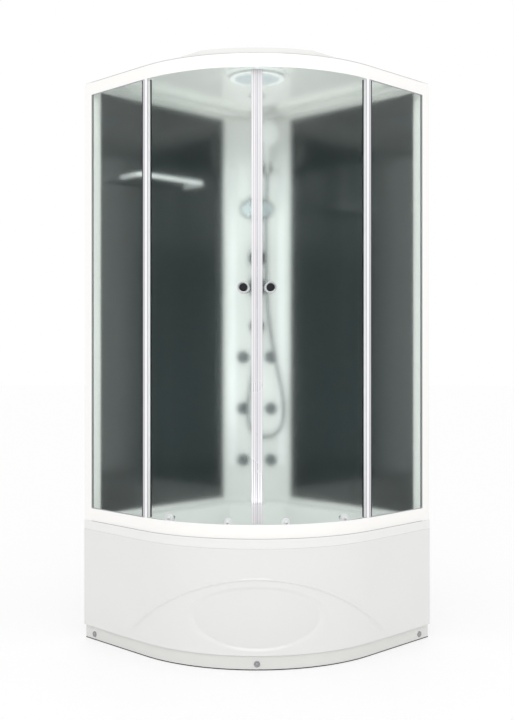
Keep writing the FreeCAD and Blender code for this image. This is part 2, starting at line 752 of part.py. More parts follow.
def make_doors():
    outer, inner = z.door_outer, z.door_outer + z.pane
    face = float(z.bend - outer)
    through = 4 * float(z.pane)
    for side, sign in (("left", -1), ("right", 1)):
        glass = new_body("door_glass_" + side, CORNER)
        pad(glass, [sided(arc_band(outer, inner, z.door_rear, z.door_front), side)],
            track_base + z.door_clear, frame_top - z.rail_web - z.door_head_gap)
        holes = doc.addObject("Part::Compound", "door_holes_" + side)
        drills = []
        for degrees, level, radius in door_holes(sign):
            drill = Part.makeCylinder(float(radius), 2 * through, Vec(0, 0, face - through))
            drills.append(plain("drill", drill, radial(degrees, level)))
        holes.Links = drills
        glass.Label = "door_pane_" + side
        drilled = doc.addObject("Part::Cut", "door_cut_" + side)
        drilled.Base, drilled.Tool = glass, holes
        drilled.Label = "door_glass_" + side
        keep(drilled)
        make_strips(side)
        make_knob(side, sign)
        make_axles(side, sign)


def wheel_spots(sign):
    """The wheels of a door: name, degrees from the diagonal, level and radius."""
    low = track_base + z.wheel_bottom_radius
    high = shelf_top + z.wheel_top_radius
    spots = []
    for place, angle in (("rear", z.wheel_rear), ("front", z.wheel_front)):
        degrees = sign * (45 - float(angle))
        spots.append(("top", place, degrees, high, z.wheel_top_radius))
        spots.append(("bottom", place, degrees, low, z.wheel_bottom_radius))
    return spots


def door_holes(sign):
    holes = [(spot[2], spot[3], z.axle_hole) for spot in wheel_spots(sign)]
    holes.append((sign * knob_angle(), knob_height, z.knob_hole))
    return holes


def make_strips(side):
    """The magnetic strip on the meeting edge and the seal on the rear edge."""
    outer, inner = z.door_outer - z.strip_proud, z.door_outer + z.pane + z.strip_proud
    slot_out, slot_in = z.door_outer - z.slot_gap, z.door_outer + z.pane + z.slot_gap
    low, high = rail_sight - z.strip_over, glass_sight + z.strip_over
    start, finish = z.strip_front - z.strip_span, z.door_rear + z.seal_span
    past, gap = z.seal_lip, z.strip_slot
    magnet = new_body("magnet_" + side, CORNER)
    pad(magnet, [sided(arc_band(outer, inner, start, z.strip_front), side)], low, high)
    slot = arc_band(slot_out, slot_in, start - past, z.door_front + gap)
    cut(magnet, [sided(slot, side)], low, high)
    seal = new_body("seal_" + side, CORNER)
    pad(seal, [sided(arc_band(outer, inner, z.door_rear - past, finish), side)], low, high)
    slot = arc_band(slot_out, slot_in, z.door_rear - gap, finish + past)
    cut(seal, [sided(slot, side)], low, high)
    doc.recompute()
    joined = doc.addObject("Part::Compound", "door_strips_" + side)
    joined.Links = [magnet, seal]
    joined.Label = "door_strips_" + side
    keep(joined)


def make_knob(side, sign):
    """A knob inside and one outside, on a stem through the glass."""
    out_face = z.bend - z.door_outer + z.ball_gap
    in_face = z.bend - z.door_outer - z.pane - z.ball_gap
    body = new_body("door_knob_" + side, radial(sign * knob_angle(), knob_height))
    grip, neck, stem, rim = z.knob_radius, z.knob_neck, z.knob_stem, z.knob_rim
    foot, wide, deep = z.knob_foot, z.knob_foot * 2, z.knob_depth
    turn(body, [(0, in_face - deep), (grip - rim, in_face - deep),
                (grip, in_face - deep + rim), (grip, in_face - wide), (neck, in_face - foot),
                (neck, in_face), (stem, in_face), (stem, out_face), (neck, out_face),
                (neck, out_face + foot), (grip, out_face + wide),
                (grip, out_face + deep - rim), (grip - rim, out_face + deep),
                (0, out_face + deep)])
    keep(body)


def make_axles(side, sign):
    """The bolts that carry the wheels of one door."""
    glass_in = float(z.bend - z.door_outer - z.pane - z.ball_gap)
    wheel_in = float(z.bend - z.wheel_outer - z.wheel_width)
    wheel_out = float(z.bend - z.wheel_outer)
    gap = float(z.axle_gap)
    bolts = []
    for _, _, degrees, level, _ in wheel_spots(sign):
        head = Part.makeCylinder(float(z.axle_head), float(z.axle_head_depth),
                                 Vec(0, 0, glass_in - float(z.axle_head_depth)))
        shaft = Part.makeCylinder(float(z.axle_radius), wheel_out + gap - glass_in,
                                  Vec(0, 0, glass_in))
        collar_low = float(z.bend - z.door_outer + z.ball_gap)
        collar = Part.makeCylinder(float(z.axle_cap), wheel_in - gap - collar_low,
                                   Vec(0, 0, collar_low))
        cap = Part.makeCylinder(float(z.axle_cap), float(z.axle_cap_depth),
                                Vec(0, 0, wheel_out + gap))
        bolt = head.fuse([shaft, collar, cap]).removeSplitter()
        bolt.Placement = radial(degrees, level)
        bolts.append(bolt)
    keep(plain("door_axles_" + side, Part.makeCompound(bolts)))


def make_wheels():
    low = z.bend - z.wheel_outer - z.wheel_width
    high = z.bend - z.wheel_outer
    bevel = z.wheel_bevel
    for side, sign in (("left", -1), ("right", 1)):
        for row_name, place, degrees, level, radius in wheel_spots(sign):
            label = "wheel_%s_%s_%s" % (row_name, side, place)
            body = new_body(label, radial(degrees, level))
            turn(body, [(z.wheel_bore, low), (radius - bevel, low), (radius, low + bevel),
                        (radius, high - bevel), (radius - bevel, high), (z.wheel_bore, high)])
            keep(body)


# ---------------------------------------------------------------- rear walls and column

def make_rear_walls():
    near = z.column_leg + z.column_gap
    gap = z.wall_gap
    for side in ("left", "right"):
        body = new_body("rear_glass_" + side, CORNER)
        outline = rectangle(near, gap, glass_end, gap + z.wall_glass)
        pad(body, [sided(outline, side)], wall_base, wall_top)
        keep(body)
    trims = []
    for side in ("left", "right"):
        body = new_body("trim_" + side, CORNER)
        low, high = gap - z.trim_skin + z.trim_inset, gap + z.wall_glass + z.trim_skin
        outline = rectangle(glass_end - z.trim_bite, low, trim_end, high)
        pad(body, [sided(outline, side)], wall_base, wall_top)
        slot = rectangle(glass_end - z.trim_bite, gap - z.slot_gap, glass_end + z.slot_gap,
                         gap + z.wall_glass + z.slot_gap)
        cut(body, [sided(slot, side)], wall_base, wall_top)
        trims.append(body)
    doc.recompute()
    joined = doc.addObject("Part::Compound", "wall_trims")
    joined.Links = trims
    joined.Label = "wall_trims"
    keep(joined)


def jet_spots():
    return [(side, sign, name, level) for side, sign in (("left", -1), ("right", 1))
            for name, level in (("low", jet_low), ("mid", jet_low + z.jet_pitch),
                                ("high", jet_low + 2 * z.jet_pitch))]


def make_column():
    """The shell across the corner, drawn in plan, with a sunk centre panel."""
    body = new_body("column_panel", CORNER)
    leg, edge, inside = z.column_leg, z.wall_gap, z.wall_gap + z.flange_skin
    tilt = z.column_skin * ROOT2
    flange = leg - z.column_flange - edge
    heel = leg - tilt - inside
    outline = [(leg - edge, edge), (edge, leg - edge), (edge, flange), (inside, flange),
               (inside, heel), (heel, inside), (flange, inside), (flange, edge)]
    pad(body, [outline], deck, wall_top)
    half, middle, sunk = z.panel_half / ROOT2, leg / 2, z.panel_sink / ROOT2
    # the centre panel is a thin slab set back behind the face
    lap = half + z.panel_lap
    deep = 2 * sunk
    back_skin = [(middle + lap, middle - lap), (middle - lap, middle + lap),
                 (middle - lap - deep, middle + lap - deep),
                 (middle + lap - deep, middle - lap - deep)]
    pad(body, [back_skin], panel_low - z.panel_lap, panel_high + z.panel_lap)
    proud = sunk / 2
    recess = [(middle + half + proud, middle - half + proud),
              (middle - half + proud, middle + half + proud),
              (middle - half - sunk, middle + half - sunk),
              (middle + half - sunk, middle - half - sunk)]
    cut(body, [recess], panel_low, panel_high)
    holes = [(sign * z.jet_lateral, level, z.body_hole) for _, sign, _, level in jet_spots()]
    for level in (mixer_height, diverter_height, outlet_height):
        holes.append((0, level, z.spindle_hole + z.ball_gap))
    holes.append((0, steam_level, z.steam_pipe + z.ball_gap))
    through = 4 * float(z.column_skin + z.panel_sink)
    drills = [plain("column_drill", Part.makeCylinder(float(radius), 2 * through,
                                                      Vec(0, 0, -through)),
                    on_face(x, level)) for x, level, radius in holes]
    tools = doc.addObject("Part::Compound", "column_drills")
    tools.Links = drills
    body.Label = "column_shell"
    drilled = doc.addObject("Part::Cut", "column_drilled")
    drilled.Base, drilled.Tool = body, tools
    drilled.Label = "column_panel"
    keep(drilled)


def make_mirror():
    sunk = -z.panel_sink
    ring = new_body("mirror_frame", on_face(0, mirror_height))
    inner = (z.mirror_half_width - z.mirror_ring, z.mirror_half_height - z.mirror_ring,
             z.mirror_end - z.mirror_ring)
    pad(ring, [oval(z.mirror_half_width, z.mirror_half_height, z.mirror_end)], sunk,
        sunk + z.mirror_depth)
    cut(ring, [oval(*inner)], sunk, sunk + z.mirror_depth)
    keep(ring)
    glass = new_body("mirror", on_face(0, mirror_height))
    gap = z.slot_gap
    pad(glass, [oval(inner[0] - gap, inner[1] - gap, inner[2] - gap)], sunk,
        sunk + z.mirror_glass)
    keep(glass)


def make_jets():
    face = -z.panel_sink
    pieces = []
    ball_at = face - z.ball_back
    for side, sign, name, level in jet_spots():
        place = on_face(sign * z.jet_lateral, level)
        bezel = new_body("bezel_%s_%s" % (side, name), place)
        socket = z.ball + z.ball_gap
        front = face + z.bezel_depth
        rear = face - z.body_length
        turn(bezel, bezel_profile(rear, face, front, ball_at, socket))
        pieces.append(bezel)
        nozzle = new_body("jet_nozzle_%s_%s" % (side, name), place)
        turn(nozzle, nozzle_profile(ball_at))
        keep(nozzle)
    doc.recompute()
    joined = doc.addObject("Part::Compound", "jet_bezels")
    joined.Links = pieces
    joined.Label = "jet_bezels"
    keep(joined)


def bezel_profile(rear, face, front, ball_at, socket):
    """A round bezel with a ball socket that is open behind and narrows to its mouth."""
    mouth = root(socket * socket - (front - ball_at) * (front - ball_at))
    return [(socket, rear), (z.body_radius, rear), (z.body_radius, face),
            (z.bezel_radius, face), (z.bezel_radius, front - z.bezel_bevel),
            (z.bezel_radius - z.bezel_bevel, front),
            (mouth, front, socket, -1), (socket, ball_at)]


def nozzle_profile(ball_at):
    """A ball with a flat front and a bore along its axis."""
    rim = root(z.ball * z.ball - z.ball_flat * z.ball_flat)
    waist = root(z.ball * z.ball - z.ball_bore * z.ball_bore)
    return [(z.ball_bore, ball_at - waist, z.ball, 1), (z.ball, ball_at, z.ball, 1),
            (rim, ball_at + z.ball_flat), (z.ball_bore, ball_at + z.ball_flat)]


def make_jet_pipes():
    """Two risers behind the column, joined across to the valve, with a stub to each jet."""
    rear = float(-z.panel_sink - z.body_length)
    depth = float(-z.pipe_depth)
    pipe = float(z.pipe_radius)
    low = float(jet_low - z.pipe_tail)
    high = float(valve_low)
    pieces = []
    for sign in (-1, 1):
        x = sign * float(z.jet_lateral)
        riser = rod(pipe, Vec(x, low, depth), Vec(x, high, depth))
        stubs = [rod(z.body_radius, Vec(x, float(level), depth), Vec(x, float(level), rear))
                 for _, jet_sign, _, level in jet_spots() if jet_sign == sign]
        pieces.append(riser.fuse(stubs).removeSplitter())
    keep(plain("jet_pipes", Part.makeCompound(pieces), on_face(0, 0)))


def make_valves():
    """The brass body behind the column and what shows of it in front."""
    half = float(z.valve_half)
    front = float(-z.valve_depth)
    rear = float(-z.valve_back)
    block = box_shape(-half, half, valve_low, valve_high, rear, front)
    sunk = float(-z.panel_sink)
    snouts = [rod(z.spindle_hole, Vec(0, float(level), front), Vec(0, float(level), sunk))
              for level in (mixer_height, diverter_height)]
    inlets = []
    middle = (rear + front) / 2 - float(z.inlet_behind)
    for sign in (-1, 1):
        top = Vec(sign * float(z.inlet_spacing) / 2, float(valve_low), middle)
        inlets.append(rod(z.inlet_radius, top, top - Vec(0, float(z.inlet_length), 0)))
    block = block.fuse(snouts + inlets)
    bore = z.spindle + z.spindle_gap
    bores = [rod(bore, Vec(0, float(level), sunk - float(z.spindle_length + z.lever_over)),
                 Vec(0, float(level), sunk + 1)) for level in (mixer_height, diverter_height)]
    keep(plain("valve_block", block.cut(bores).removeSplitter(), on_face(0, 0)))
    plates = []
    deep = float(z.plate_depth)
    for level, radius in ((mixer_height, z.mixer_plate), (diverter_height, z.diverter_plate)):
        spot = Vec(0, float(level), sunk)
        outer = Part.makeCylinder(float(radius), deep, spot, UP)
        plates.append(outer.cut(Part.makeCylinder(float(z.spindle + 1), deep, spot, UP)))
    keep(plain("valve_plates", Part.makeCompound(plates), on_face(0, 0)))


def make_mixer():
    """The mixer's cap with its slot, and the lever that tips in the slot."""
    sunk = -z.panel_sink
    foot, seat = sunk - z.spindle_length, sunk + z.plate_depth + z.ball_gap
    top = seat + z.cap_length
    cap = new_body("mixer_cap", on_face(0, mixer_height))
    turn(cap, [(0, foot), (z.spindle, foot), (z.spindle, seat), (z.cap_body, seat),
               (z.cap_body, top - z.cap_bevel), (z.cap_body - z.cap_bevel, top), (0, top)])
    half = z.lever_width / 2
    slot = half + z.ball_gap
    cut(cap, [rectangle(-slot, -z.cap_body, slot, z.slot_above)], top - z.cap_slot, top)
    keep(cap)
    lever = new_body("mixer_lever", on_face(0, mixer_height))
    low, high, near = top - z.lever_seat, top + z.lever_over, z.lever_over - z.cap_body
    pad(lever, [rectangle(-half, near, half, z.lever_root)], low, high)
    tip = half - z.lever_drop
    bulge = half + z.spindle_gap
    blade = [(-half, near), (half, near), (half, tip, bulge, -1), (-half, tip)]
    pad(lever, [blade], low + z.lever_over, low + z.lever_over + z.lever_thick)
    keep(lever)


def make_diverter():
    sunk = -z.panel_sink
    foot, seat = sunk - z.spindle_length, sunk + z.plate_depth + z.ball_gap
    top, grip, waist = seat + z.knob_grip_depth, z.knob_grip, z.knob_waist
    knob = new_body("diverter_knob", on_face(0, diverter_height))
    turn(knob, [(0, foot), (z.spindle, foot), (z.spindle, seat), (grip, seat),
                (grip, seat + z.knob_skirt), (waist, seat + z.knob_skirt + z.cap_bevel),
                (waist, top - z.knob_bevel), (waist - z.knob_bevel, top), (0, top)])
    keep(knob)


def make_outlet():
    """The elbow where the hose starts: a rose, a neck and a spigot that points down."""
    sunk = float(-z.panel_sink)
    level = float(outlet_height)
    out = float(z.spigot_reach)
    wall, knee = Vec(0, level, sunk), Vec(0, level, out)
    rose = rod(z.outlet_plate, wall, wall + UP * float(z.rose_depth))
    tail = rod(z.spindle_hole, wall - UP * float(z.outlet_tail), wall)
    neck = rod(z.neck_radius, wall, knee)
    bend = Part.makeSphere(float(z.knee_radius), knee)
    nut = rod(z.nut_outer, knee, knee - Vec(0, float(z.spigot_drop), 0))
    shape = rose.fuse([tail, neck, bend, nut]).removeSplitter()
    keep(plain("hose_outlet", shape, on_face(0, 0)))


# the hose, as row X, distance in front of the column's face, and height
HOSE_ROUTE = [
    (0, 32, 1122), (0, 32, 1055), (-15, 33, 975), (-29, 34, 893), (-39, 35, 812),
    (-36, 37, 742), (7, 39, 697), (69, 41, 697), (112, 43, 742), (117, 44, 832),
    (109, 44, 935), (93, 44, 1042), (78, 45, 1160), (62, 46, 1275), (49, 47, 1385),
    (43.5, 48.5, 1485), (41, 50, 1590), (42, 50, 1690), (42, 50, 1785),
]


def hose_wire(points):
    """Straight runs joined by arcs as large as the two runs at each corner allow."""
    edges, start, radii = [], points[0], []
    for before, corner, after in zip(points, points[1:], points[2:]):
        into, out = corner - before, after - corner
        angle = into.getAngle(out)
        short = 0.45 * min(into.Length, out.Length)
        radii.append(short / math.tan(angle / 2))
        first = corner - into.normalize() * short
        last = corner + out.normalize() * short
        bisector = (first + last) * 0.5 - corner
        deep = radii[-1] / math.cos(angle / 2) - radii[-1]
        middle = corner + bisector.normalize() * deep
        edges.append(Part.LineSegment(start, first).toShape())
        edges.append(Part.Arc(first, middle, last).toShape())
        start = last
    edges.append(Part.LineSegment(start, points[-1]).toShape())
    return Part.Wire(edges), radii


def make_hose():
    points = [Vec(x, float(face_y) - depth, level) for x, depth, level in HOSE_ROUTE]
    wire, radii = hose_wire(points)
    ring = Part.Wire(Part.makeCircle(float(z.hose_radius), points[0], points[1] - points[0]))
    tube = wire.makePipeShell([ring], True, False)
    print("hose radii", [round(radius) for radius in radii])
    ideal = math.pi * float(z.hose_radius) ** 2 * wire.Length
    print("hose length", round(wire.Length, 1), "volume ratio", round(tube.Volume / ideal, 4))
    keep(plain("shower_hose", tube))


def make_hand_shower():
    """A tapered handle that stands in its holder, under a flat oval head."""
    foot = Vec(float(z.holder_lateral), float(handle_base), float(z.handle_reach))
    handle = Part.makeCone(float(z.handle_low), float(z.handle_high),
                           float(z.handle_length), foot, Vec(0, 1, 0))
    level = handle_top + z.head_rise
    head = new_body("shower_head", on_face(z.holder_lateral + z.head_shift, level))
    front = z.handle_reach + z.head_forward
    pad(head, [flip(oval(z.head_half_height, z.head_half_width, z.head_end))],
        front - z.head_depth, front)
    doc.recompute()
    grip = plain("shower_grip", handle, on_face(0, 0))
    joined = doc.addObject("Part::Fuse", "hand_shower")
    joined.Base, joined.Tool = head, grip
    joined.Label = "hand_shower"
    keep(joined)


def make_holder():
    """A plate on the column, an arm and an open ring that carries the handle."""
    x, sunk = float(z.holder_lateral), float(-z.panel_sink)
    low, high, reach_out = float(holder_low), float(holder_high), float(z.handle_reach)
    taper = float(z.handle_high - z.handle_low) / float(z.handle_length)
    seat = [float(z.handle_low + z.handle_gap) + taper * (level - float(handle_base))
            for level in (low, high)]
    axis, spot, tall = Vec(0, 1, 0), Vec(x, low, reach_out), high - low
    ring = Part.makeCylinder(seat[1] + float(z.holder_wall), tall, spot, axis)
    bore = Part.makeCone(seat[0], seat[1], tall, spot, axis)
    half, trim = float(z.holder_arm) / 2, float(z.arm_trim)
    arm = box_shape(x - half, x + half, low + trim, high - trim, sunk, reach_out)
    middle = Vec(x, (low + high) / 2, sunk)
    plate = rod(z.holder_plate, middle, middle + UP * float(z.plate_depth))
    open_half = float(z.holder_mouth) / 2
    mouth = box_shape(x - open_half, x + open_half, low, high, reach_out, 2 * reach_out)
    shape = ring.fuse([arm, plate]).cut([bore, mouth]).removeSplitter()
    keep(plain("shower_holder", shape, on_face(0, 0)))


# ---------------------------------------------------------------- roof

def dome(shrink):
    """The raised part of the roof in plan, smaller by shrink on every side."""
    wall = z.dome_wall + shrink
    front = z.side - z.dome_wall - shrink
    arc = z.bend - z.dome_front - shrink
    corner = z.dome_corner_radius - shrink
    # where the front arc meets the flank
    rise = root(arc * arc - (front - centre) * (front - centre))
    meet = centre + rise
    return [(wall, wall), (front - corner, wall, corner, 1), (front, wall + corner),
            (front, meet, arc, 1), (meet, front), (wall + corner, front, corner, 1),
            (wall, front - corner)]


def make_roof():
    """A flange, a dome rounded at its top, a skirt along the walls, and the hollow below."""
    shell = new_body("roof_shell", CORNER)
    seat = frame_top
    pad(shell, [quadrant(z.roof_inset)], seat, seat + z.flange)
    pad(shell, [dome(Size.of(0))], seat + z.flange, roof_top)
    round_edges(shell, z.roof_round, roof_top)
    strip = z.upstand_width
    far = z.side - z.post_depth - z.rail_inset - z.skirt_gap
    skirt = [(0, 0), (far, 0), (far, strip), (strip, strip), (strip, far), (0, far)]
    pad(shell, [skirt], wall_top, seat)
    hollow = new_body("roof_hollow", CORNER)
    pad(hollow, [dome(z.roof_skin)], seat - z.flange, ceiling)
    round_edges(hollow, z.roof_round - z.roof_skin, ceiling)
    for diag, radius in ((z.rain_diag, z.rain_neck + z.slot_gap), (z.fan_diag, z.fan_hole)):
        spot = diag / ROOT2
        pad(hollow, [circle(spot, spot, radius)], ceiling - z.roof_skin,
            roof_top + z.roof_skin)
    roof = doc.addObject("Part::Cut", "roof")
    roof.Base, roof.Tool = shell, hollow
    roof.Label = "roof"
    keep(roof)


def make_rain_shower():
    """A flat disc on a threaded stem, held by a nut above the roof."""
    body = new_body("rain_shower", upright(0, back - z.rain_diag, 0))
    top = roof_top - z.rain_below
    low, edge, slope = top - z.rain_depth, z.rain_edge, z.rain_slope
    rim, neck, nut = z.rain_radius, z.rain_neck, z.rain_nut
    nut_low = roof_top + z.slot_gap
    nut_high = nut_low + z.rain_nut_depth
    turn(body, [(0, low), (rim - edge, low), (rim, low + edge), (rim, top - slope),
                (rim - slope, top - 1), (z.rain_crown, top), (neck, top + edge),
                (neck, nut_low), (nut, nut_low), (nut, nut_high), (neck, nut_high),
                (neck - 1, roof_top + z.rain_stud), (0, roof_top + z.rain_stud)])
    keep(body)


def make_fan():
    """A square fan box on the roof, open below through its grille, and its rotor."""
    place = upright(0, back - z.fan_diag, 0)
    half, wall = z.fan_half, z.fan_wall
    bore = z.fan_hole - z.fan_lip
    lip_low, grille_low = ceiling - z.slot_gap, ceiling - z.slot_gap - z.grille_depth
    rotor_low = roof_top + z.rotor_rise
    rotor_high = rotor_low + z.rotor_height
    lid = top_of_all - wall
    box = new_body("fan_housing", place)
    pad(box, [rectangle(-half, -half, half, half)], roof_top, top_of_all)
    cut(box, [rectangle(wall - half, wall - half, half - wall, half - wall)],
        roof_top + wall, lid)
    cut(box, [circle(0, 0, bore)], roof_top, roof_top + wall)
    pad(box, [circle(0, 0, z.fan_hole - z.slot_gap)], lip_low, roof_top)
    cut(box, [circle(0, 0, bore)], lip_low, roof_top)
    pad(box, [circle(0, 0, z.fan_grille), circle(0, 0, bore)], grille_low, lip_low)
    for step in (-2, -1, 0, 1, 2):
        across = z.grille_pitch * step
        long = root(z.fan_hole * z.fan_hole - across * across) - z.fan_lip / 2
        slat = z.grille_bar / 2
        pad(box, [rectangle(across - slat, -long, across + slat, long)], grille_low, lip_low)
    boss_low = rotor_high + z.boss_gap
    pad(box, [circle(0, 0, z.rotor_pin + z.rotor_boss)], boss_low, lid)
    cut(box, [circle(0, 0, z.rotor_pin + z.spindle_gap)], boss_low, lid)
    keep(box)
    rotor = new_body("fan_rotor", place)
    pad(rotor, [circle(0, 0, z.rotor_hub)], rotor_low, rotor_high)
    pad(rotor, [circle(0, 0, z.rotor_pin)], rotor_high, lid - z.pin_gap)
    middle = (rotor_low + rotor_high) / 2
    blades = int(float(z.blade_count))
    for number in range(blades):
        angle = 360 * number / blades
        out, across = (cosine(angle), sine(angle)), (-sine(angle), cosine(angle))
        thick, hub = z.blade_thick / 2, z.rotor_hub - z.blade_thick
        corners = [(hub, -thick), (z.rotor_radius, -thick), (z.rotor_radius, thick),
                   (hub, thick)]
        outline = [(r * out[0] + t * across[0], r * out[1] + t * across[1])
                   for r, t in corners]
        pad(rotor, [outline], middle - z.blade_half, middle + z.blade_half)
    keep(rotor)


# ---------------------------------------------------------------- shelf and steam

def make_shelf():
    wall = z.wall_gap + z.wall_glass
    far = trim_end - z.shelf_clear
    near = far - z.shelf_width
    out = wall + z.shelf_depth
    corner = z.shelf_round

    def outline(shrink, rear):
        r = corner - shrink
        left, right, edge = near + shrink, far - shrink, out - shrink
        return [(left, rear), (right, rear), (right, edge - r, r, 1), (right - r, edge),
                (left + r, edge, r, 1), (left, edge - r)]

    rim, top = z.shelf_rim, frame_top - z.shelf_fall
    low = top - z.shelf_rim_height
    rail = new_body("shelf_rail", CORNER)
    pad(rail, [outline(Size.of(0), wall)], low, top)
    seat = top - z.shelf_glass - z.shelf_recess
    behind = wall - z.shelf_rim
    cut(rail, [outline(rim + z.shelf_ledge, behind)], low, top)
    cut(rail, [outline(rim, behind)], seat, top)
    keep(rail)
    glass = new_body("shelf_glass", CORNER)
    pad(glass, [outline(rim + z.slot_gap, wall + z.slot_gap)], seat, seat + z.shelf_glass)
    keep(glass)


def make_steam():
    """The generator stands on the tray frame; its pipe rises to a low outlet in the column."""
    half = z.steam_half
    base = floor_top - z.skin
    near, far = z.steam_near, z.steam_far
    box = frame_box(-half, half, near, far, base, base + z.steam_height)
    y = float(back - z.steam_pipe_diag)
    top = float(steam_level)
    riser = rod(z.steam_pipe, Vec(0, y, float(base + z.steam_height)), Vec(0, y, top))
    knee = Part.makeSphere(float(z.steam_pipe), Vec(0, y, top))
    face = float(face_y)
    spout = rod(z.steam_pipe, Vec(0, y, top), Vec(0, face - float(z.steam_rose_depth), top))
    rose = rod(z.steam_rose, Vec(0, face, top), Vec(0, face - float(z.steam_rose_depth), top))
    nose = rod(z.steam_nose, Vec(0, face, top),
               Vec(0, face - float(z.steam_nose_depth), top))
    shape = box.fuse([riser, knee, spout, rose, nose]).removeSplitter()
    keep(plain("steam_generator", shape))


make_tray()
make_tray_frame()
make_feet()
make_drain()
make_apron()
make_plinth()
make_lower_rail()
make_upper_rail()
make_posts()
make_fixed_glass()
make_edge_profiles()
make_doors()
make_wheels()
make_rear_walls()
make_column()
make_mirror()
make_jets()
make_jet_pipes()
make_valves()
make_mixer()
make_diverter()
make_outlet()
make_hose()
make_hand_shower()
make_holder()
make_roof()
make_rain_shower()
make_fan()
make_shelf()
make_steam()
doc.recompute()

# ---------------------------------------------------------------- checks and files

for item in doc.Objects:
    if "Invalid" in item.State or "Error" in item.State:
        raise ValueError("%s failed: %s" % (item.Label, item.State))
labels = [item.Label for item in made]
if len(set(labels)) != len(labels) or len(labels) > 60:
    raise ValueError("labels are repeated or too many: %d" % len(labels))
for item in made:
    shape = item.Shape
    if shape.isNull() or not shape.isValid() or not shape.Solids:
        raise ValueError(item.Label + " is not a valid solid")
    shape.exportStep("parts/%s.step" % item.Label)
    print(item.Label, len(shape.Solids), round(shape.Volume))
print(len(made), "sub-parts")
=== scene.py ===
import json
from math import atan2, ceil, cos, degrees, hypot, pi, radians, sin, sqrt

import bmesh
import bpy
from mathutils import Matrix, Vector


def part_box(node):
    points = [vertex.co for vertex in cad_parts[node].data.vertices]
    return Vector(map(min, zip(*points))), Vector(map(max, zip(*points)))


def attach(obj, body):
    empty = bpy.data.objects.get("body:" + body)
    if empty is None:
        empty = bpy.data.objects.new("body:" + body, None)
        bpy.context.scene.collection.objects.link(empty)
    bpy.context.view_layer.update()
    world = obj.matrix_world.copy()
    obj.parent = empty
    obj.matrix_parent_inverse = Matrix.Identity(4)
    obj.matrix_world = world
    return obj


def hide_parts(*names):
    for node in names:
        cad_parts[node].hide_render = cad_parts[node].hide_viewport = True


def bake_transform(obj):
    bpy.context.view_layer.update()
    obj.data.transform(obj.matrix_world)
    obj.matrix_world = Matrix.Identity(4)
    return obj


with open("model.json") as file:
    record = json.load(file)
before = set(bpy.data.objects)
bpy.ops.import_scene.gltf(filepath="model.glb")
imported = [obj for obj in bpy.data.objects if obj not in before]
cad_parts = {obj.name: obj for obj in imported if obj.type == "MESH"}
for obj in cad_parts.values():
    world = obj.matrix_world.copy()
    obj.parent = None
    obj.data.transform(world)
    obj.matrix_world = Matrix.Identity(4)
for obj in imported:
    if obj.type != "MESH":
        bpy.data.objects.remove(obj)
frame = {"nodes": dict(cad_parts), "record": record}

nodes = frame["nodes"]
record = frame["record"]
SLOT = {part["node"]: part["material_slot"] for part in record["subparts"]}
BODY = {node: body for body, held in record["behaviour"]["bodies"].items() for node in held}
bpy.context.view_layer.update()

# ---------------------------------------------------------------- sizes, metres

ROOT2 = sqrt(2)
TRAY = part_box("tray")
BACK = TRAY[1].y                       # row Y of the corner where the two walls meet
SIDE = TRAY[1].x * ROOT2               # length of each wall side
REACH = BACK - TRAY[0].y               # from that corner to the front
BEND = (SIDE * ROOT2 - REACH) / (ROOT2 - 1)
CENTRE = SIDE - BEND                   # both corner coordinates of the front arc's centre
AXIS_Y = BACK - CENTRE * ROOT2
FACE_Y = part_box("column_panel")[0].y   # front of the corner column
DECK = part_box("lower_rail")[0].z       # top of the tray's rim
FRAME_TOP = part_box("upper_rail")[1].z
RAIL_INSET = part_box("lower_rail")[0].y - TRAY[0].y
ROOF_SKIN = .004
SIDES = {"left": -1, "right": 1}       # each side with the sign of its row X

CORNER = Matrix.Translation((0, BACK, 0)) @ Matrix.Rotation(radians(-135), 4, "Z")
UPRIGHT = Matrix.Rotation(radians(90), 4, "X")
OTHER_SIDE = Matrix.Scale(-1, 4, (1, 0, 0))


def on_face(x, level, depth=0):
    """A frame in front of the column's face: X right, Y up, Z out of the face."""
    return Matrix.Translation((x, FACE_Y - depth, level)) @ UPRIGHT


def radial(angle, level):
    """A frame on the axis of the front arc, with Z pointing out through the front."""
    facing = Matrix.Rotation(radians(angle), 4, "Z")
    return Matrix.Translation((0, AXIS_Y, level)) @ facing @ UPRIGHT


def middle(node):
    """The middle of a node's box."""
    return (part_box(node)[0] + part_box(node)[1]) / 2


def left_box(node):
    """The box of a node's left half, in the frame of the room's corner."""
    spots = [vertex.co for vertex in nodes[node].data.vertices if vertex.co.x < 0]
    spots = [CORNER.inverted() @ spot for spot in spots]
    low = Vector([min(spot[axis] for spot in spots) for axis in range(3)])
    high = Vector([max(spot[axis] for spot in spots) for axis in range(3)])
    return low, high


# ---------------------------------------------------------------- camera

CAMERA_BACK = 4.464                    # from the corner of the walls to the lens
CAMERA_LEVEL = 1.046
LENS = 51.94
SHIFT_DOWN = -0.0089


def add_camera():
    data = bpy.data.cameras.new("camera")
    data.lens = LENS
    data.shift_y = SHIFT_DOWN
    camera = bpy.data.objects.new("camera", data)
    camera.location = (0, BACK - CAMERA_BACK, CAMERA_LEVEL)
    camera.rotation_euler = (radians(90), 0, 0)
    bpy.context.collection.objects.link(camera)
    bpy.context.scene.camera = camera


# ---------------------------------------------------------------- mesh helpers

def finished(bm, name, place=None, smooth=30):
    """Turns a bmesh into an object at the origin, with its place in its mesh."""
    if place is not None:
        bmesh.ops.transform(bm, matrix=place, verts=bm.verts)
    mesh = bpy.data.meshes.new(name)
    bm.to_mesh(mesh)
    bm.free()
    mesh.shade_smooth()
    mesh.set_sharp_from_angle(angle=radians(smooth))
    piece = bpy.data.objects.new(name, mesh)
    bpy.context.collection.objects.link(piece)
    return piece


def dress(piece, slot, body="cabin", replaced=(), look=None):
    """Gives a piece its material, its body and the nodes that it stands for."""
    piece.data.materials.append(MATERIALS[look or slot])
    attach(piece, body)
    if replaced:
        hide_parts(*replaced)
    return piece


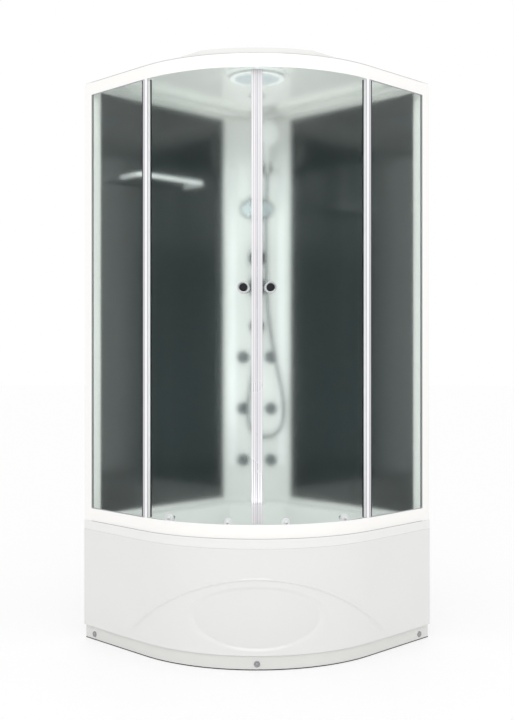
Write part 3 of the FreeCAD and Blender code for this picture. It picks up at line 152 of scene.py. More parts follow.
def tidy_shell(bm):
    bmesh.ops.remove_doubles(bm, verts=bm.verts, dist=1e-6)
    bmesh.ops.recalc_face_normals(bm, faces=bm.faces)


# ---------------------------------------------------------------- the hose

HOSE_RADIUS = 0.007
HOSE_RIB = 0.0034
HOSE_GROOVE = 0.0011
HOSE_SIDES = 14
# the route, as row X, distance in front of the column's face, and height
HOSE_ROUTE = [
    (0, .032, 1.122), (0, .032, 1.055), (-.015, .033, .975), (-.029, .034, .893),
    (-.039, .035, .812), (-.034, .037, .747), (.006, .039, .703), (.064, .041, .703),
    (.105, .043, .747), (.111, .044, .832), (.095, .044, .935), (.071, .044, 1.042),
    (.051, .045, 1.160), (.041, .046, 1.275), (.038, .047, 1.385), (.0375, .0485, 1.485),
    (.038, .050, 1.590), (.042, .050, 1.690), (.042, .050, 1.785),
]


def hose_path():
    """The points of the route's smooth line."""
    data = bpy.data.curves.new("hose_line", "CURVE")
    data.dimensions = "3D"
    data.resolution_u = 24
    spline = data.splines.new("NURBS")
    spline.points.add(len(HOSE_ROUTE) - 1)
    for point, (x, depth, level) in zip(spline.points, HOSE_ROUTE):
        point.co = (x, FACE_Y - depth, level, 1)
    spline.order_u = 3
    spline.use_endpoint_u = True
    line = bpy.data.objects.new("hose_line", data)
    mesh = bpy.data.meshes.new_from_object(line)
    path = [vertex.co.copy() for vertex in mesh.vertices]
    bpy.data.objects.remove(line)
    bpy.data.meshes.remove(mesh)
    return path


def even_points(path, step):
    """Points at even steps along a line, with its two ends."""
    lengths = [0]
    for before, after in zip(path, path[1:]):
        lengths.append(lengths[-1] + (after - before).length)
    count = ceil(lengths[-1] / step)
    points, at = [], 0
    for number in range(count + 1):
        wanted = lengths[-1] * number / count
        while at < len(path) - 2 and lengths[at + 1] < wanted:
            at += 1
        share = (wanted - lengths[at]) / (lengths[at + 1] - lengths[at])
        points.append(path[at].lerp(path[at + 1], share))
    return points, lengths[-1]


def add_hose():
    """A spiral-wound hose: a ring at every rib and groove, joined into one tube."""
    path = hose_path()
    points, length = even_points(path, HOSE_RIB / 4)
    bm = bmesh.new()
    way = points[1] - points[0]
    facing = way.to_track_quat("Z", "Y").to_matrix().to_4x4()
    ring = bmesh.ops.create_circle(bm, segments=HOSE_SIDES, radius=HOSE_RADIUS, cap_ends=True)
    bmesh.ops.transform(bm, matrix=Matrix.Translation(points[0]) @ facing, verts=ring["verts"])
    edges = bm.edges[:]
    waves = (0, -0.5, -1, -0.5)        # shares of the groove's depth, over one rib
    plain = len(points) - 4            # from here on the hose is smooth
    for number, (before, point) in enumerate(zip(points, points[1:]), start=1):
        after = points[min(number + 1, len(points) - 1)]
        onward = after - before
        grown = bmesh.ops.extrude_edge_only(bm, edges=edges)["geom"]
        verts = [item for item in grown if isinstance(item, bmesh.types.BMVert)]
        edges = [item for item in grown if isinstance(item, bmesh.types.BMEdge)
                 and all(vert in verts for vert in item.verts)]
        bend = way.rotation_difference(onward)
        radius = HOSE_RADIUS + HOSE_GROOVE * waves[number % 4] * (number < plain)
        for vert in verts:
            arm = vert.co - before
            arm = bend @ arm.normalized()
            vert.co = point + arm * radius
        way = onward
    bmesh.ops.holes_fill(bm, edges=edges, sides=0)
    tidy_shell(bm)
    hose = finished(bm, "hose", smooth=60)
    hose.data.materials.append(MATERIALS["hose_metal"])
    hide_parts("shower_hose")
    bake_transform(hose)


# ---------------------------------------------------------------- finishes

def finish_group():
    """Cloudy colour, uneven gloss and fine grain, in real sizes on the object's own place."""
    group = bpy.data.node_groups.new("surface_finish", "ShaderNodeTree")
    link = group.links.new
    for name, kind, default in (("Colour", "Color", (.8, .8, .8, 1)),
                                ("Second Colour", "Color", (.7, .7, .7, 1)),
                                ("Patch Scale", "Float", 4), ("Roughness", "Float", .3),
                                ("Roughness Spread", "Float", .1), ("Grain Scale", "Float", 900),
                                ("Streak", "Float", 1)):
        socket = group.interface.new_socket(name, in_out="INPUT", socket_type="NodeSocket" + kind)
        socket.default_value = default
    for name, kind in (("Colour", "Color"), ("Roughness", "Float"), ("Grain", "Float")):
        group.interface.new_socket(name, in_out="OUTPUT", socket_type="NodeSocket" + kind)
    given = group.nodes.new("NodeGroupInput").outputs
    out = group.nodes.new("NodeGroupOutput").inputs
    place = group.nodes.new("ShaderNodeTexCoord").outputs["Object"]
    cloud = noise(group, place, given["Patch Scale"], 3)
    mix = group.nodes.new("ShaderNodeMix")
    mix.data_type = "RGBA"
    colours = [socket for socket in mix.inputs if socket.type == "RGBA"]
    link(cloud, mix.inputs[0])
    link(given["Colour"], colours[0])
    link(given["Second Colour"], colours[1])
    link(next(socket for socket in mix.outputs if socket.type == "RGBA"), out["Colour"])
    gloss = group.nodes.new("ShaderNodeMath")
    gloss.operation = "MULTIPLY_ADD"
    link(cloud, gloss.inputs[0])
    link(given["Roughness Spread"], gloss.inputs[1])
    link(given["Roughness"], gloss.inputs[2])
    link(gloss.outputs[0], out["Roughness"])
    stretch = group.nodes.new("ShaderNodeVectorMath")
    stretch.operation = "MULTIPLY"
    along = group.nodes.new("ShaderNodeCombineXYZ")
    along.inputs["X"].default_value = along.inputs["Y"].default_value = 1
    link(given["Streak"], along.inputs["Z"])
    link(place, stretch.inputs[0])
    link(along.outputs[0], stretch.inputs[1])
    link(noise(group, stretch.outputs[0], given["Grain Scale"], 2), out["Grain"])
    return group


def noise(tree, place, scale, detail):
    node = tree.nodes.new("ShaderNodeTexNoise")
    node.inputs["Detail"].default_value = detail
    tree.links.new(place, node.inputs["Vector"])
    tree.links.new(scale, node.inputs["Scale"])
    return node.outputs[0]


FINISH = finish_group()


GRAIN_DEPTH = .0002


def surface(name, colour, second, rough, spread=.06, patch=4, grain=900, bump=.05, streak=1,
            **fixed):
    """A material whose colour, gloss and grain come from the finish group."""
    material = bpy.data.materials.new(name)
    material.use_nodes = True
    tree = material.node_tree
    shader = tree.nodes["Principled BSDF"]
    group = tree.nodes.new("ShaderNodeGroup")
    group.node_tree = FINISH
    for socket, value in (("Colour", (*colour, 1)), ("Second Colour", (*second, 1)),
                          ("Patch Scale", patch), ("Roughness", rough),
                          ("Roughness Spread", spread), ("Grain Scale", grain),
                          ("Streak", streak)):
        group.inputs[socket].default_value = value
    relief = tree.nodes.new("ShaderNodeBump")
    relief.inputs["Strength"].default_value = bump
    relief.inputs["Distance"].default_value = GRAIN_DEPTH
    tree.links.new(group.outputs["Grain"], relief.inputs["Height"])
    tree.links.new(relief.outputs[0], shader.inputs["Normal"])
    tree.links.new(group.outputs["Colour"], shader.inputs["Base Color"])
    tree.links.new(group.outputs["Roughness"], shader.inputs["Roughness"])
    for socket, value in fixed.items():
        shader.inputs[socket.replace("_", " ")].default_value = value
    return material


def see_through(material, shade):
    """Lets light pass to what is behind: for shadow rays the glass is a clear tint."""
    tree = material.node_tree
    clear = tree.nodes.new("ShaderNodeBsdfTransparent")
    clear.inputs["Color"].default_value = (*shade, 1)
    mix = tree.nodes.new("ShaderNodeMixShader")
    path = tree.nodes.new("ShaderNodeLightPath")
    tree.links.new(path.outputs["Is Shadow Ray"], mix.inputs["Fac"])
    tree.links.new(tree.nodes["Principled BSDF"].outputs[0], mix.inputs[1])
    tree.links.new(clear.outputs[0], mix.inputs[2])
    tree.links.new(mix.outputs[0], tree.nodes["Material Output"].inputs["Surface"])
    return material


METAL = {"Metallic": 1}
MATERIALS = {
    "acrylic_white": surface("acrylic_white", (.81, .81, .80), (.79, .79, .78), .10, .06,
                             grain=260, bump=.03, Coat_Weight=.3, Coat_Roughness=.04),
    # the apron's acrylic, a darker copy of acrylic_white: painted shade for the apron's darkening
    # near the floor
    "apron_shaded_white": surface("apron_shaded_white", (.765, .765, .755), (.745, .745, .735), .12, .06,
                           grain=260, bump=.03, Coat_Weight=.3, Coat_Roughness=.04),
    # the column's acrylic, a darker copy of acrylic_white: painted shade on the sunk panel, beside
    # the brighter strips
    "column_shaded_white": surface("column_shaded_white", (.76, .76, .75), (.74, .74, .73), .10, .06,
                            grain=260, bump=.03, Coat_Weight=.3, Coat_Roughness=.04),
    "plinth_white": surface("plinth_white", (.72, .72, .70), (.69, .69, .67), .22, .08),
    "frame_white": surface("frame_white", (.92, .91, .89), (.90, .89, .87), .30, .08,
                           grain=1500, bump=.10),
    "satin_glass": see_through(surface("satin_glass", (.93, .98, .96), (.92, .97, .95), .22,
                                       .02, patch=2, grain=1800, bump=.02, IOR=1.14,
                                       Transmission_Weight=1), (.92, .96, .95)),
    "dark_glass": surface("dark_glass", (.016, .024, .025), (.020, .028, .029), .05, .03,
                          patch=2, bump=.01, Coat_Weight=1, Coat_Roughness=.02),
    "edge_bright": surface("edge_bright", (.94, .94, .95), (.91, .91, .92), .30, .08,
                           grain=700, bump=.08, streak=.02, Metallic=.2),
    "seal_clear": see_through(surface("seal_clear", (.68, .67, .73), (.64, .63, .69), .25,
                                      Transmission_Weight=.3), (.8, .8, .84)),
    "chrome": surface("chrome", (.17, .18, .19), (.14, .15, .16), .10, .05, bump=.01, **METAL),
    "steel": surface("steel", (.52, .53, .55), (.42, .43, .44), .34, .15, patch=30, bump=.1,
                     **METAL),
    "brass": surface("brass", (.70, .52, .24), (.60, .43, .19), .32, .12, patch=25, bump=.15,
                     **METAL),
    "grey_plastic": surface("grey_plastic", (.34, .35, .36), (.30, .31, .32), .38, .1,
                            bump=.12),
    "white_plastic": surface("white_plastic", (.88, .88, .88), (.85, .85, .85), .22, .08,
                             bump=.06),
    "wheel_plastic": surface("wheel_plastic", (.86, .87, .88), (.80, .81, .82), .30, .1,
                             bump=.08),
    "mirror_glass": surface("mirror_glass", (.25, .27, .28), (.23, .25, .26), .03, .02,
                            bump=.0, **METAL),
    "shelf_clear": see_through(surface("shelf_clear", (.88, .95, .93), (.86, .94, .92), .04,
                                       .02, bump=.0, IOR=1.47, Transmission_Weight=1),
                               (.88, .94, .92)),
    "hose_metal": surface("hose_metal", (.60, .61, .63), (.50, .51, .53), .20, .1, **METAL),
    # a brighter copy of chrome, for the parts that show a highlight: painted highlight
    "highlit_chrome": surface("highlit_chrome", (.86, .87, .88), (.80, .81, .83), .07, .04,
                             bump=.01, **METAL),
    # a darker copy of chrome, for the parts that show dark reflections: painted shade, not a
    # smoked finish
    "shaded_chrome": surface("shaded_chrome", (.06, .065, .06), (.045, .05, .045), .12, .05,
                            bump=.01, **METAL),
    "roof_white": surface("roof_white", (.78, .78, .76), (.76, .76, .74), .14, .06,
                          grain=260, bump=.03, Coat_Weight=.2, Coat_Roughness=.05),
    "spray_grey": surface("spray_grey", (.56, .60, .62), (.52, .56, .58), .30, .1, bump=.05),
    # grey for bands on the edge profiles: painted reflection of the polished profile
    "reflection_band_grey": surface("reflection_band_grey", (.56, .55, .58), (.52, .51, .54), .30, .08, bump=.05),
    "rubber": surface("rubber", (.012, .012, .015), (.018, .018, .021), .42, .1, bump=.05,
                      Specular_IOR_Level=.15),
    "jet_grey": surface("jet_grey", (.13, .145, .155), (.11, .125, .135), .30, .1, bump=.05,
                        Metallic=.2),
}


def paint_nodes():
    """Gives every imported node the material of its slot."""
    for part in record["subparts"]:
        for slot in nodes[part["node"]].material_slots:
            slot.material = MATERIALS[part["material_slot"]]


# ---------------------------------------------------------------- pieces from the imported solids

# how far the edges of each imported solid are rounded
ROUNDED = {
    "tray": .003, "tray_frame": .0015, "plinth": .0008,
    "wall_posts": .0012, "wall_trims": .0008, "edge_profiles": .0008,
    "fixed_glass_left": .0008, "fixed_glass_right": .0008, "rear_glass_left": .0012,
    "rear_glass_right": .0012, "column_panel": .0014, "mirror": .0006, "mirror_frame": .002,
    "shelf_rail": .0016, "shelf_glass": .0008, "roof": .0012, "fan_housing": .0008,
    "steam_generator": .002, "valve_block": .0012, "valve_plates": .0012,
    "jet_bezels": .0009, "jet_pipes": .0008, "hose_outlet": .0006, "shower_holder": .0012,
    "hand_shower": .0018, "mixer_cap": .0012, "mixer_lever": .0018, "rain_shower": .0012,
    "drain_waste": .0008, "levelling_feet": .0008, "door_axles_left": .0004,
    "door_axles_right": .0004, "drain_plug": .0008, "door_glass_left": .0006,
    "door_glass_right": .0006,
}
CREASE = 35                            # degrees, from which an edge of a solid counts as sharp
MERGE = 2e-5                           # points closer than this are one
# imported solids that look different from the rest of their slot; the column's look and the chrome
# looks are painted shade and painted highlight
LOOKS = {"roof": "roof_white", "column_panel": "column_shaded_white", "mirror_frame": "shaded_chrome",
         "shower_holder": "shaded_chrome", "door_axles_left": "highlit_chrome",
         "door_axles_right": "highlit_chrome"}


def softened(node, rounding):
    """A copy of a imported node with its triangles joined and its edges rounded."""
    bm = bmesh.new()
    bm.from_mesh(nodes[node].data)
    bmesh.ops.remove_doubles(bm, verts=bm.verts, dist=MERGE)
    bmesh.ops.dissolve_limit(bm, angle_limit=radians(1), verts=bm.verts, edges=bm.edges)
    sharp = [edge for edge in bm.edges
             if len(edge.link_faces) == 2 and edge.calc_face_angle() > radians(CREASE)]
    if rounding:
        bmesh.ops.bevel(bm, geom=sharp, offset=rounding, offset_type="OFFSET", profile=0.5,
                        segments=2, affect="EDGES", clamp_overlap=True, material=-1)
    bmesh.ops.recalc_face_normals(bm, faces=bm.faces)
    return bm


def add_rounded():
    """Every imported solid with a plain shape, with the rounded edges of the real piece."""
    for node, rounding in ROUNDED.items():
        piece = finished(softened(node, rounding), node + "_rounded", smooth=CREASE)
        even = piece.modifiers.new("even_normals", "WEIGHTED_NORMAL")
        even.keep_sharp = True
        dress(piece, SLOT[node], BODY[node], (node,), LOOKS.get(node))


# ---------------------------------------------------------------- small pieces, mostly turned

def absorb(bm, part, place=None):
    """Puts one mesh into another, at a place."""
    if place is not None:
        bmesh.ops.transform(part, matrix=place, verts=part.verts)
        bmesh.ops.recalc_face_normals(part, faces=part.faces)
    carrier = bpy.data.meshes.new("carrier")
    part.to_mesh(carrier)
    part.free()
    bm.from_mesh(carrier)
    bpy.data.meshes.remove(carrier)


def turned(profile, steps=64, closed=False):
    """A body turned about Z from points of radius, height and rounding."""
    bm = bmesh.new()
    verts = [bm.verts.new((radius, 0, height)) for radius, height, _ in profile]
    for pair in zip(verts, verts[1:]):
        bm.edges.new(pair)
    if closed:
        bm.edges.new((verts[-1], verts[0]))
    for vert, (_, _, rounding) in zip(verts, profile):
        if rounding:
            bmesh.ops.bevel(bm, geom=[vert], offset=rounding, offset_type="OFFSET", segments=3,
                            profile=0.5, affect="VERTICES", material=-1)
    bmesh.ops.spin(bm, geom=bm.verts[:] + bm.edges[:], cent=(0, 0, 0), axis=(0, 0, 1),
                   dvec=(0, 0, 0), angle=2 * pi, steps=steps, use_merge=True)
    tidy_shell(bm)
    return bm


def row_of(places, profile, steps):
    """The same turned body at several places, as one mesh."""
    bm = bmesh.new()
    for place in places:
        absorb(bm, turned(profile, steps), place)
    return bm


def rings_of(place, rings):
    """Places on rings about Z: each ring is a radius and a count."""
    spots = []
    for radius, count in rings:
        for number in range(count):
            angle = 2 * pi * number / count
            spots.append(place @ Matrix.Translation((radius * cos(angle), radius * sin(angle), 0)))
    return spots


def add_knobs():
    """Door knobs: a dished chrome grip on each side of the glass, with a dark centre."""
    for side in SIDES:
        low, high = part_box("door_knob_" + side)
        centre = middle("door_knob_" + side)
        angle = degrees(atan2(centre.x, AXIS_Y - centre.y))
        place = radial(angle, centre.z)
        near, far = knob_span(side, place)
        grip = (high.z - low.z) / 2
        dish, sunk, slope = grip * .80, .0035, .0012
        lip, neck, deep = .0022, .009, .0190
        profile = [(0, near + sunk, 0), (dish, near + sunk, .001), (dish + slope, near, .0006),
                   (grip - lip, near, .0014), (grip, near + lip, .0014),
                   (grip, near + deep * .55, .0030), (neck, near + deep, .0030),
                   (neck, far - deep, .0030), (grip, far - deep * .55, .0030),
                   (grip, far - lip, .0014), (grip - lip, far, .0014),
                   (dish + slope, far, .0006), (dish, far - sunk, .001), (0, far - sunk, 0)]
        knob = finished(turned(profile), "knob_" + side, place)
        # the brighter chrome look of the knob is painted highlight
        dress(knob, "chrome", "door_" + side, ("door_knob_" + side,), look="highlit_chrome")
        bm = bmesh.new()
        under = sunk - .0002               # the dark discs sit just above the dish's floor
        for level, turn in ((far - under, 0), (near + under, 180)):
            facing = Matrix.Rotation(radians(turn), 4, "X")
            spot = place @ Matrix.Translation((0, 0, level)) @ facing
            disc = [(0, .0012, 0), (dish * .9, .0006, .0006), (dish * .93, -.0006, 0),
                    (0, -.0006, 0)]
            absorb(bm, turned(disc), spot)
        dress(finished(bm, "knob_centres_" + side), "chrome", "door_" + side, look="rubber")


def knob_span(side, place):
    """How far a door knob reaches along the axis of its place."""
    back = place.inverted()
    depths = [(back @ vertex.co).z for vertex in nodes["door_knob_" + side].data.vertices]
    return min(depths), max(depths)


def add_wheels():
    """Door wheels: a grooved nylon tyre with a dished web."""
    for node in nodes:
        if not node.startswith("wheel_"):
            continue
        centre = middle(node)
        angle = degrees(atan2(centre.x, AXIS_Y - centre.y))
        place = radial(angle, centre.z)
        back = place.inverted()
        spots = [back @ vertex.co for vertex in nodes[node].data.vertices]
        near, far = min(spot.z for spot in spots), max(spot.z for spot in spots)
        tyre = max(hypot(spot.x, spot.y) for spot in spots)
        bore = min(hypot(spot.x, spot.y) for spot in spots)
        half, hub, rim = (near + far) / 2, tyre * .42, tyre * .80
        boss, web = .0004, .002            # how deep the hub and the web lie in the tyre
        groove, sunk = .0022, .0010        # the groove's half width and its depth
        profile = [(bore, near + boss, 0), (hub, near + boss, .0006), (hub, near + web, .0004),
                   (rim, near + web, .0006), (rim, near, .0005), (tyre - .0008, near, .0006),
                   (tyre, near + .0016, .0006), (tyre, half - groove, .0004),
                   (tyre - sunk, half, .0010), (tyre, half + groove, .0004),
                   (tyre, far - .0016, .0006), (tyre - .0008, far, .0006), (rim, far, .0005),
                   (rim, far - web, .0006), (hub, far - web, .0004), (hub, far - boss, .0006),
                   (bore, far - boss, 0)]
        wheel = finished(turned(profile, 48, closed=True), node + "_turned", place)
        dress(wheel, "wheel_plastic", BODY[node], (node,))


def add_plinth_caps():
    """Three round caps with a slotted screw in each, on the base strip."""
    places, radius, depth = cap_places()
    profile = [(0, .0012, 0), (radius * .42, .0012, .0004), (radius * .46, .0006, .0004),
               (radius * .72, .0006, .0010), (radius * .80, depth - .0004, .0010),
               (radius - .0012, depth, .0010), (radius, .0006, .0006), (radius, 0, 0), (0, 0, 0)]
    dress(finished(row_of(places, profile, 40), "plinth_caps"), "grey_plastic", "cabin",
          ("plinth_screws",))
    bm = bmesh.new()
    head = [(0, .0030, 0), (radius * .30, .0026, .0006), (radius * .40, .0014, .0004),
            (radius * .40, .0008, 0), (0, .0008, 0)]
    for place in places:
        absorb(bm, turned(head, 32), place)
        for turn in (20, 110):
            slot = bmesh.new()
            bmesh.ops.create_cube(slot, size=1)
            shape = Matrix.Diagonal((radius * .5, .0007, .0006, 1))
            spin = Matrix.Rotation(radians(turn), 4, "Z")
            absorb(bm, slot, place @ Matrix.Translation((0, 0, .0031)) @ spin @ shape)
    dress(finished(bm, "plinth_screw_heads"), "steel", "cabin")


def cap_places():
    """Where the caps of the plinth sit, with their radius and depth."""
    low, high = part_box("plinth_screws")
    radius = (high.z - low.z) / 2
    level = (high.z + low.z) / 2
    front = [vertex.co for vertex in nodes["plinth_screws"].data.vertices
             if abs(vertex.co.x) < radius + .001]
    depth = max(spot.y for spot in front) - low.y
    places = [Matrix.Translation((0, low.y + depth, level)) @ UPRIGHT]
    for sign in (-1, 1):
        side = [vertex.co for vertex in nodes["plinth_screws"].data.vertices
                if vertex.co.x * sign > radius + .001]
        x = sum((min(spot.x for spot in side), max(spot.x for spot in side))) / 2
        y = sum((min(spot.y for spot in side), max(spot.y for spot in side))) / 2
        turned_out = Matrix.Rotation(radians(45 * sign), 4, "Z")
        shift = Matrix.Translation((0, 0, -depth / 2))
        places.append(Matrix.Translation((x, y, level)) @ turned_out @ UPRIGHT @ shift)
    return places, radius, depth


def add_diverter():
    """A fluted grip on a round skirt."""
    low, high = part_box("diverter_knob")
    centre = middle("diverter_knob")
    radius, depth = (high.x - low.x) / 2, high.y - low.y
    skirt, waist = depth * .24, radius * .76
    profile = [(0, 0, 0), (waist, 0, .0008), (waist, skirt, .002), (radius, skirt, .002),
               (radius, depth - .004, .003), (radius - .006, depth, .003),
               (radius * .45, depth, .001), (radius * .40, depth - .0012, .0006),
               (0, depth - .0012, 0)]
    bm = turned(profile, 96)
    flutes, flute_depth = 12, .055     # the depth as a share of the radius
    for vert in bm.verts:
        out = hypot(vert.co.x, vert.co.y)
        if out > radius * .9 and vert.co.z > skirt:
            share = (1 + cos(flutes * atan2(vert.co.y, vert.co.x))) / 2
            vert.co.xy *= 1 - flute_depth * share ** 3
    # the darker chrome look of the grip is painted shade
    dress(finished(bm, "diverter_grip", on_face(centre.x, centre.z, FACE_Y - high.y)), "chrome",
          "diverter_knob", ("diverter_knob",), look="shaded_chrome")


HEAD_OVAL = 1.25                       # height of the hand shower's plate over its width
HEAD_DROP = 1.29                       # its middle below the head's top, in half widths


def add_hand_shower_face():
    """The pale nozzle plate of the hand shower."""
    low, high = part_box("hand_shower")
    half = (high.x - low.x) / 2
    level = high.z - half * HEAD_DROP
    place = Matrix.Translation(((low.x + high.x) / 2, low.y - .0002, level)) @ UPRIGHT
    oval = place @ Matrix.Diagonal((1, HEAD_OVAL, 1, 1))
    plate = turned([(0, .0004, 0), (half * .74, .0004, .0004), (half * .78, -.0006, 0),
                    (0, -.0006, 0)], 64)
    bm = bmesh.new()
    absorb(bm, plate, oval)
    nib = [(0, .0016, 0), (.0009, .0014, .0004), (.0014, 0, 0), (0, 0, 0)]
    spots = rings_of(oval, ((0, 1), (half * .18, 6), (half * .36, 12), (half * .54, 18)))
    for spot in spots:
        absorb(bm, turned(nib, 8), Matrix.Translation(spot.translation) @ UPRIGHT)
    dress(finished(bm, "hand_shower_face"), "white_plastic", "hand_shower")


def add_rain_shower_face():
    """The grey nozzle plate of the rain shower and the white collar up to the ceiling."""
    low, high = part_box("rain_shower")
    half, centre = (high.x - low.x) / 2, middle("rain_shower")
    down = Matrix.Translation((centre.x, centre.y, low.z - .0002)) @ Matrix.Rotation(pi, 4, "X")
    bm = turned([(0, .0006, 0), (half * .76, .0006, .0005), (half * .79, -.0006, 0),
                 (0, -.0006, 0)], 96)
    bmesh.ops.transform(bm, matrix=down, verts=bm.verts)
    nib = [(0, .0022, 0), (.0010, .0020, .0004), (.0018, 0, 0), (0, 0, 0)]
    rings = ((0, 1), (.015, 8), (.030, 16), (.045, 24), (.060, 32), (.072, 40))
    for spot in rings_of(down, rings):
        absorb(bm, turned(nib, 8), spot)
    dress(finished(bm, "rain_shower_face"), "white_plastic", "cabin", look="spray_grey")
    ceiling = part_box("roof")[1].z - ROOF_SKIN
    collar = [(half - .008, low.z + .009, 0), (half - .0012, low.z + .009, .001),
              (half + .012, ceiling - .0004, .001), (half - .008, ceiling - .0004, 0)]
    above = Matrix.Translation((centre.x, centre.y, 0))
    dress(finished(turned(collar, 96, closed=True), "rain_shower_collar", above),
          "white_plastic", "cabin")


def add_fan_grille():
    """The ring and slats of the fan's grille on the ceiling, in grey: painted shade for the dark
    gaps between the slats.
    """
    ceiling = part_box("fan_housing")[0].z
    outer, inner = .0335, .0290
    pitch, slat_width, slat_depth = .0082, .0026, .0012
    ring = [(inner, ceiling - .0006, .0004), (outer, ceiling - .0006, .0004),
            (outer, ceiling + .0010, 0), (inner, ceiling + .0010, 0)]
    bm = turned(ring, 64, closed=True)
    for number in range(-3, 4):
        across = number * pitch
        slat = bmesh.new()
        bmesh.ops.create_cube(slat, size=1)
        size = (2 * sqrt(inner ** 2 - across ** 2) + .001, slat_width, slat_depth)
        absorb(bm, slat, Matrix.Translation((0, across, ceiling)) @ Matrix.Diagonal((*size, 1)))
    place = Matrix.Translation((middle("fan_housing").x, middle("fan_housing").y, 0))
    # the grey look is painted shade of the gaps between the slats
    dress(finished(bm, "fan_grille", place), "white_plastic", "cabin", look="grey_plastic")


# the strips' brighter white is painted highlight on the lit edges of the column's panel
COLUMN_HIGHLIGHT_STRIP = (.034, 1.235, .0024)    # width, height and thickness of a strip
HIGHLIGHT_STRIP_PLACE = (.102, 1.2005)           # how far its middle is from the column's, and its height


def add_column_highlight_strips():
    """The two strips beside the column's sunk panel, in a brighter white than the column: painted
    highlight on the lit edges of the panel.
    """
    bm = bmesh.new()
    for sign in (-1, 1):
        strip = bmesh.new()
        bmesh.ops.create_cube(strip, size=1)
        bmesh.ops.scale(strip, vec=COLUMN_HIGHLIGHT_STRIP, verts=strip.verts)
        bmesh.ops.bevel(strip, geom=strip.edges[:], offset=.0010, offset_type="OFFSET",
                        segments=3, profile=0.5, affect="EDGES", material=-1)
        absorb(bm, strip, on_face(sign * HIGHLIGHT_STRIP_PLACE[0], HIGHLIGHT_STRIP_PLACE[1]))
    # the brighter white_plastic look is painted highlight
    dress(finished(bm, "column_highlight_strips"), "acrylic_white", look="white_plastic")


def add_nozzle_faces():
    """A ring of small grey dots round the bore of each jet nozzle, where its holes are: painted
    shade inside the holes.
    """
    for node in nodes:
        if not node.startswith("jet_nozzle_"):
            continue
        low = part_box(node)[0]
        centre = middle(node)
        place = Matrix.Translation((centre.x, low.y, centre.z)) @ UPRIGHT
        spots = rings_of(place, ((.0068, 10),))
        hole = [(0, .0004, 0), (.0007, .0003, .0002), (.0010, -.0006, 0), (0, -.0006, 0)]
        # grey dots in place of holes: painted shade
        dress(finished(row_of(spots, hole, 10), node + "_hole_shade"), "grey_plastic", BODY[node])


def add_threads():
    """The screw threads of the levelling feet, as close rings on each rod."""
    low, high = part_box("levelling_feet")
    apart = .08                        # points further than this are on different feet
    rods = {}
    for vertex in nodes["levelling_feet"].data.vertices:
        key = min(rods, key=lambda spot: (spot - vertex.co.xy).length, default=None)
        if key is None or (key - vertex.co.xy).length > apart:
            key = vertex.co.xy.freeze()
            rods[key] = []
        rods[key].append(vertex.co)
    pitch, reach = .0025, .0065
    pad, head = .022, .012             # the lengths without thread at the foot and the top
    bm = bmesh.new()
    for spots in rods.values():
        x = (min(spot.x for spot in spots) + max(spot.x for spot in spots)) / 2
        y = (min(spot.y for spot in spots) + max(spot.y for spot in spots)) / 2
        level = low.z + pad
        while level < high.z - head:
            ring = turned([(reach - .0012, level, 0), (reach, level + pitch * .4, .0003),
                           (reach - .0012, level + pitch * .8, 0)], 24, closed=True)
            absorb(bm, ring, Matrix.Translation((x, y, 0)))
            level += pitch
    dress(finished(bm, "feet_threads"), "steel", "cabin")


# ---------------------------------------------------------------- pieces that follow the front

def follow_front(profile, start, steps=64, run=1):
    """A section of inset, level and rounding, carried round the front from tip to tip."""
    bm = bmesh.new()
    verts = [bm.verts.new((SIDE - inset, start, level)) for inset, level, _ in profile]
    for pair in zip(verts, verts[1:] + verts[:1]):
        bm.edges.new(pair)
    for vert, (_, _, rounding) in zip(verts, profile):
        if rounding:
            bmesh.ops.bevel(bm, geom=[vert], offset=rounding, offset_type="OFFSET", segments=2,
                            profile=0.5, affect="VERTICES", material=-1)
    tip = bm.edges[:]
    edges = carried(bm, tip, (0, (CENTRE - start) / run, 0), run)
    ends = {vert for edge in edges for vert in edge.verts}
    swept = bmesh.ops.spin(bm, geom=[*ends, *edges], cent=(CENTRE, CENTRE, 0), axis=(0, 0, 1),
                           dvec=(0, 0, 0), angle=pi / 2, steps=steps)["geom_last"]
    edges = [item for item in swept if isinstance(item, bmesh.types.BMEdge)]
    edges = carried(bm, edges, ((start - CENTRE) / run, 0, 0), run)
    bmesh.ops.holes_fill(bm, edges=tip + edges, sides=0)
    tidy_shell(bm)
    return bm


def carried(bm, edges, step, count):
    """Extrudes edges by a step several times and gives the last ones."""
    for _ in range(count):
        grown = bmesh.ops.extrude_edge_only(bm, edges=edges)["geom"]
        verts = {item for item in grown if isinstance(item, bmesh.types.BMVert)}
        edges = [item for item in grown if isinstance(item, bmesh.types.BMEdge)
                 and verts.issuperset(item.verts)]
        bmesh.ops.translate(bm, vec=step, verts=list(verts))
    return edges


ARCH_HALF = .455                       # the arch on the apron: half width, rise and foot
ARCH_RISE = .242
ARCH_LIFT = .008
HOLLOW = .0016                         # how far the field under the arch is sunk
FIELD_EDGE = .006                      # width of the slope down to it
BEAD_HEIGHT = .0026                    # the bead along the arch: height and half width
BEAD_HALF = .0052
BEAD_OUT = .002                        # how far its middle is outside the arch's line
BEAD_START = .006                      # where it starts, above the apron's foot
BEAD_FADE = .060                       # how much higher it has its full height
DISH_LEVEL = .121                      # middle of the oval dish, above the apron's foot
DISH_HALF = .240                       # its half width, half height and depth
DISH_RISE = .109
DISH_DEPTH = .0045
DISH_EDGE = .13                        # share of the half width over which it slopes


def smooth_step(value):
    value = min(max(value, 0), 1)
    return value * value * (3 - 2 * value)


def arch_depth(x, rise):
    """How far the apron's face is sunk at a place: the arch's field, its bead and the dish."""
    radius = (ARCH_HALF ** 2 + ARCH_RISE ** 2) / (2 * ARCH_RISE)
    under = radius - hypot(x, rise - ARCH_LIFT - ARCH_RISE + radius)
    field = smooth_step(under / FIELD_EDGE)
    raised = smooth_step(1 - abs(under + BEAD_OUT) / BEAD_HALF)
    raised *= smooth_step((rise - BEAD_START) / BEAD_FADE)
    inside = 1 - hypot(x / DISH_HALF, (rise - DISH_LEVEL) / DISH_RISE)
    return HOLLOW * field - BEAD_HEIGHT * raised + DISH_DEPTH * smooth_step(inside / DISH_EDGE)


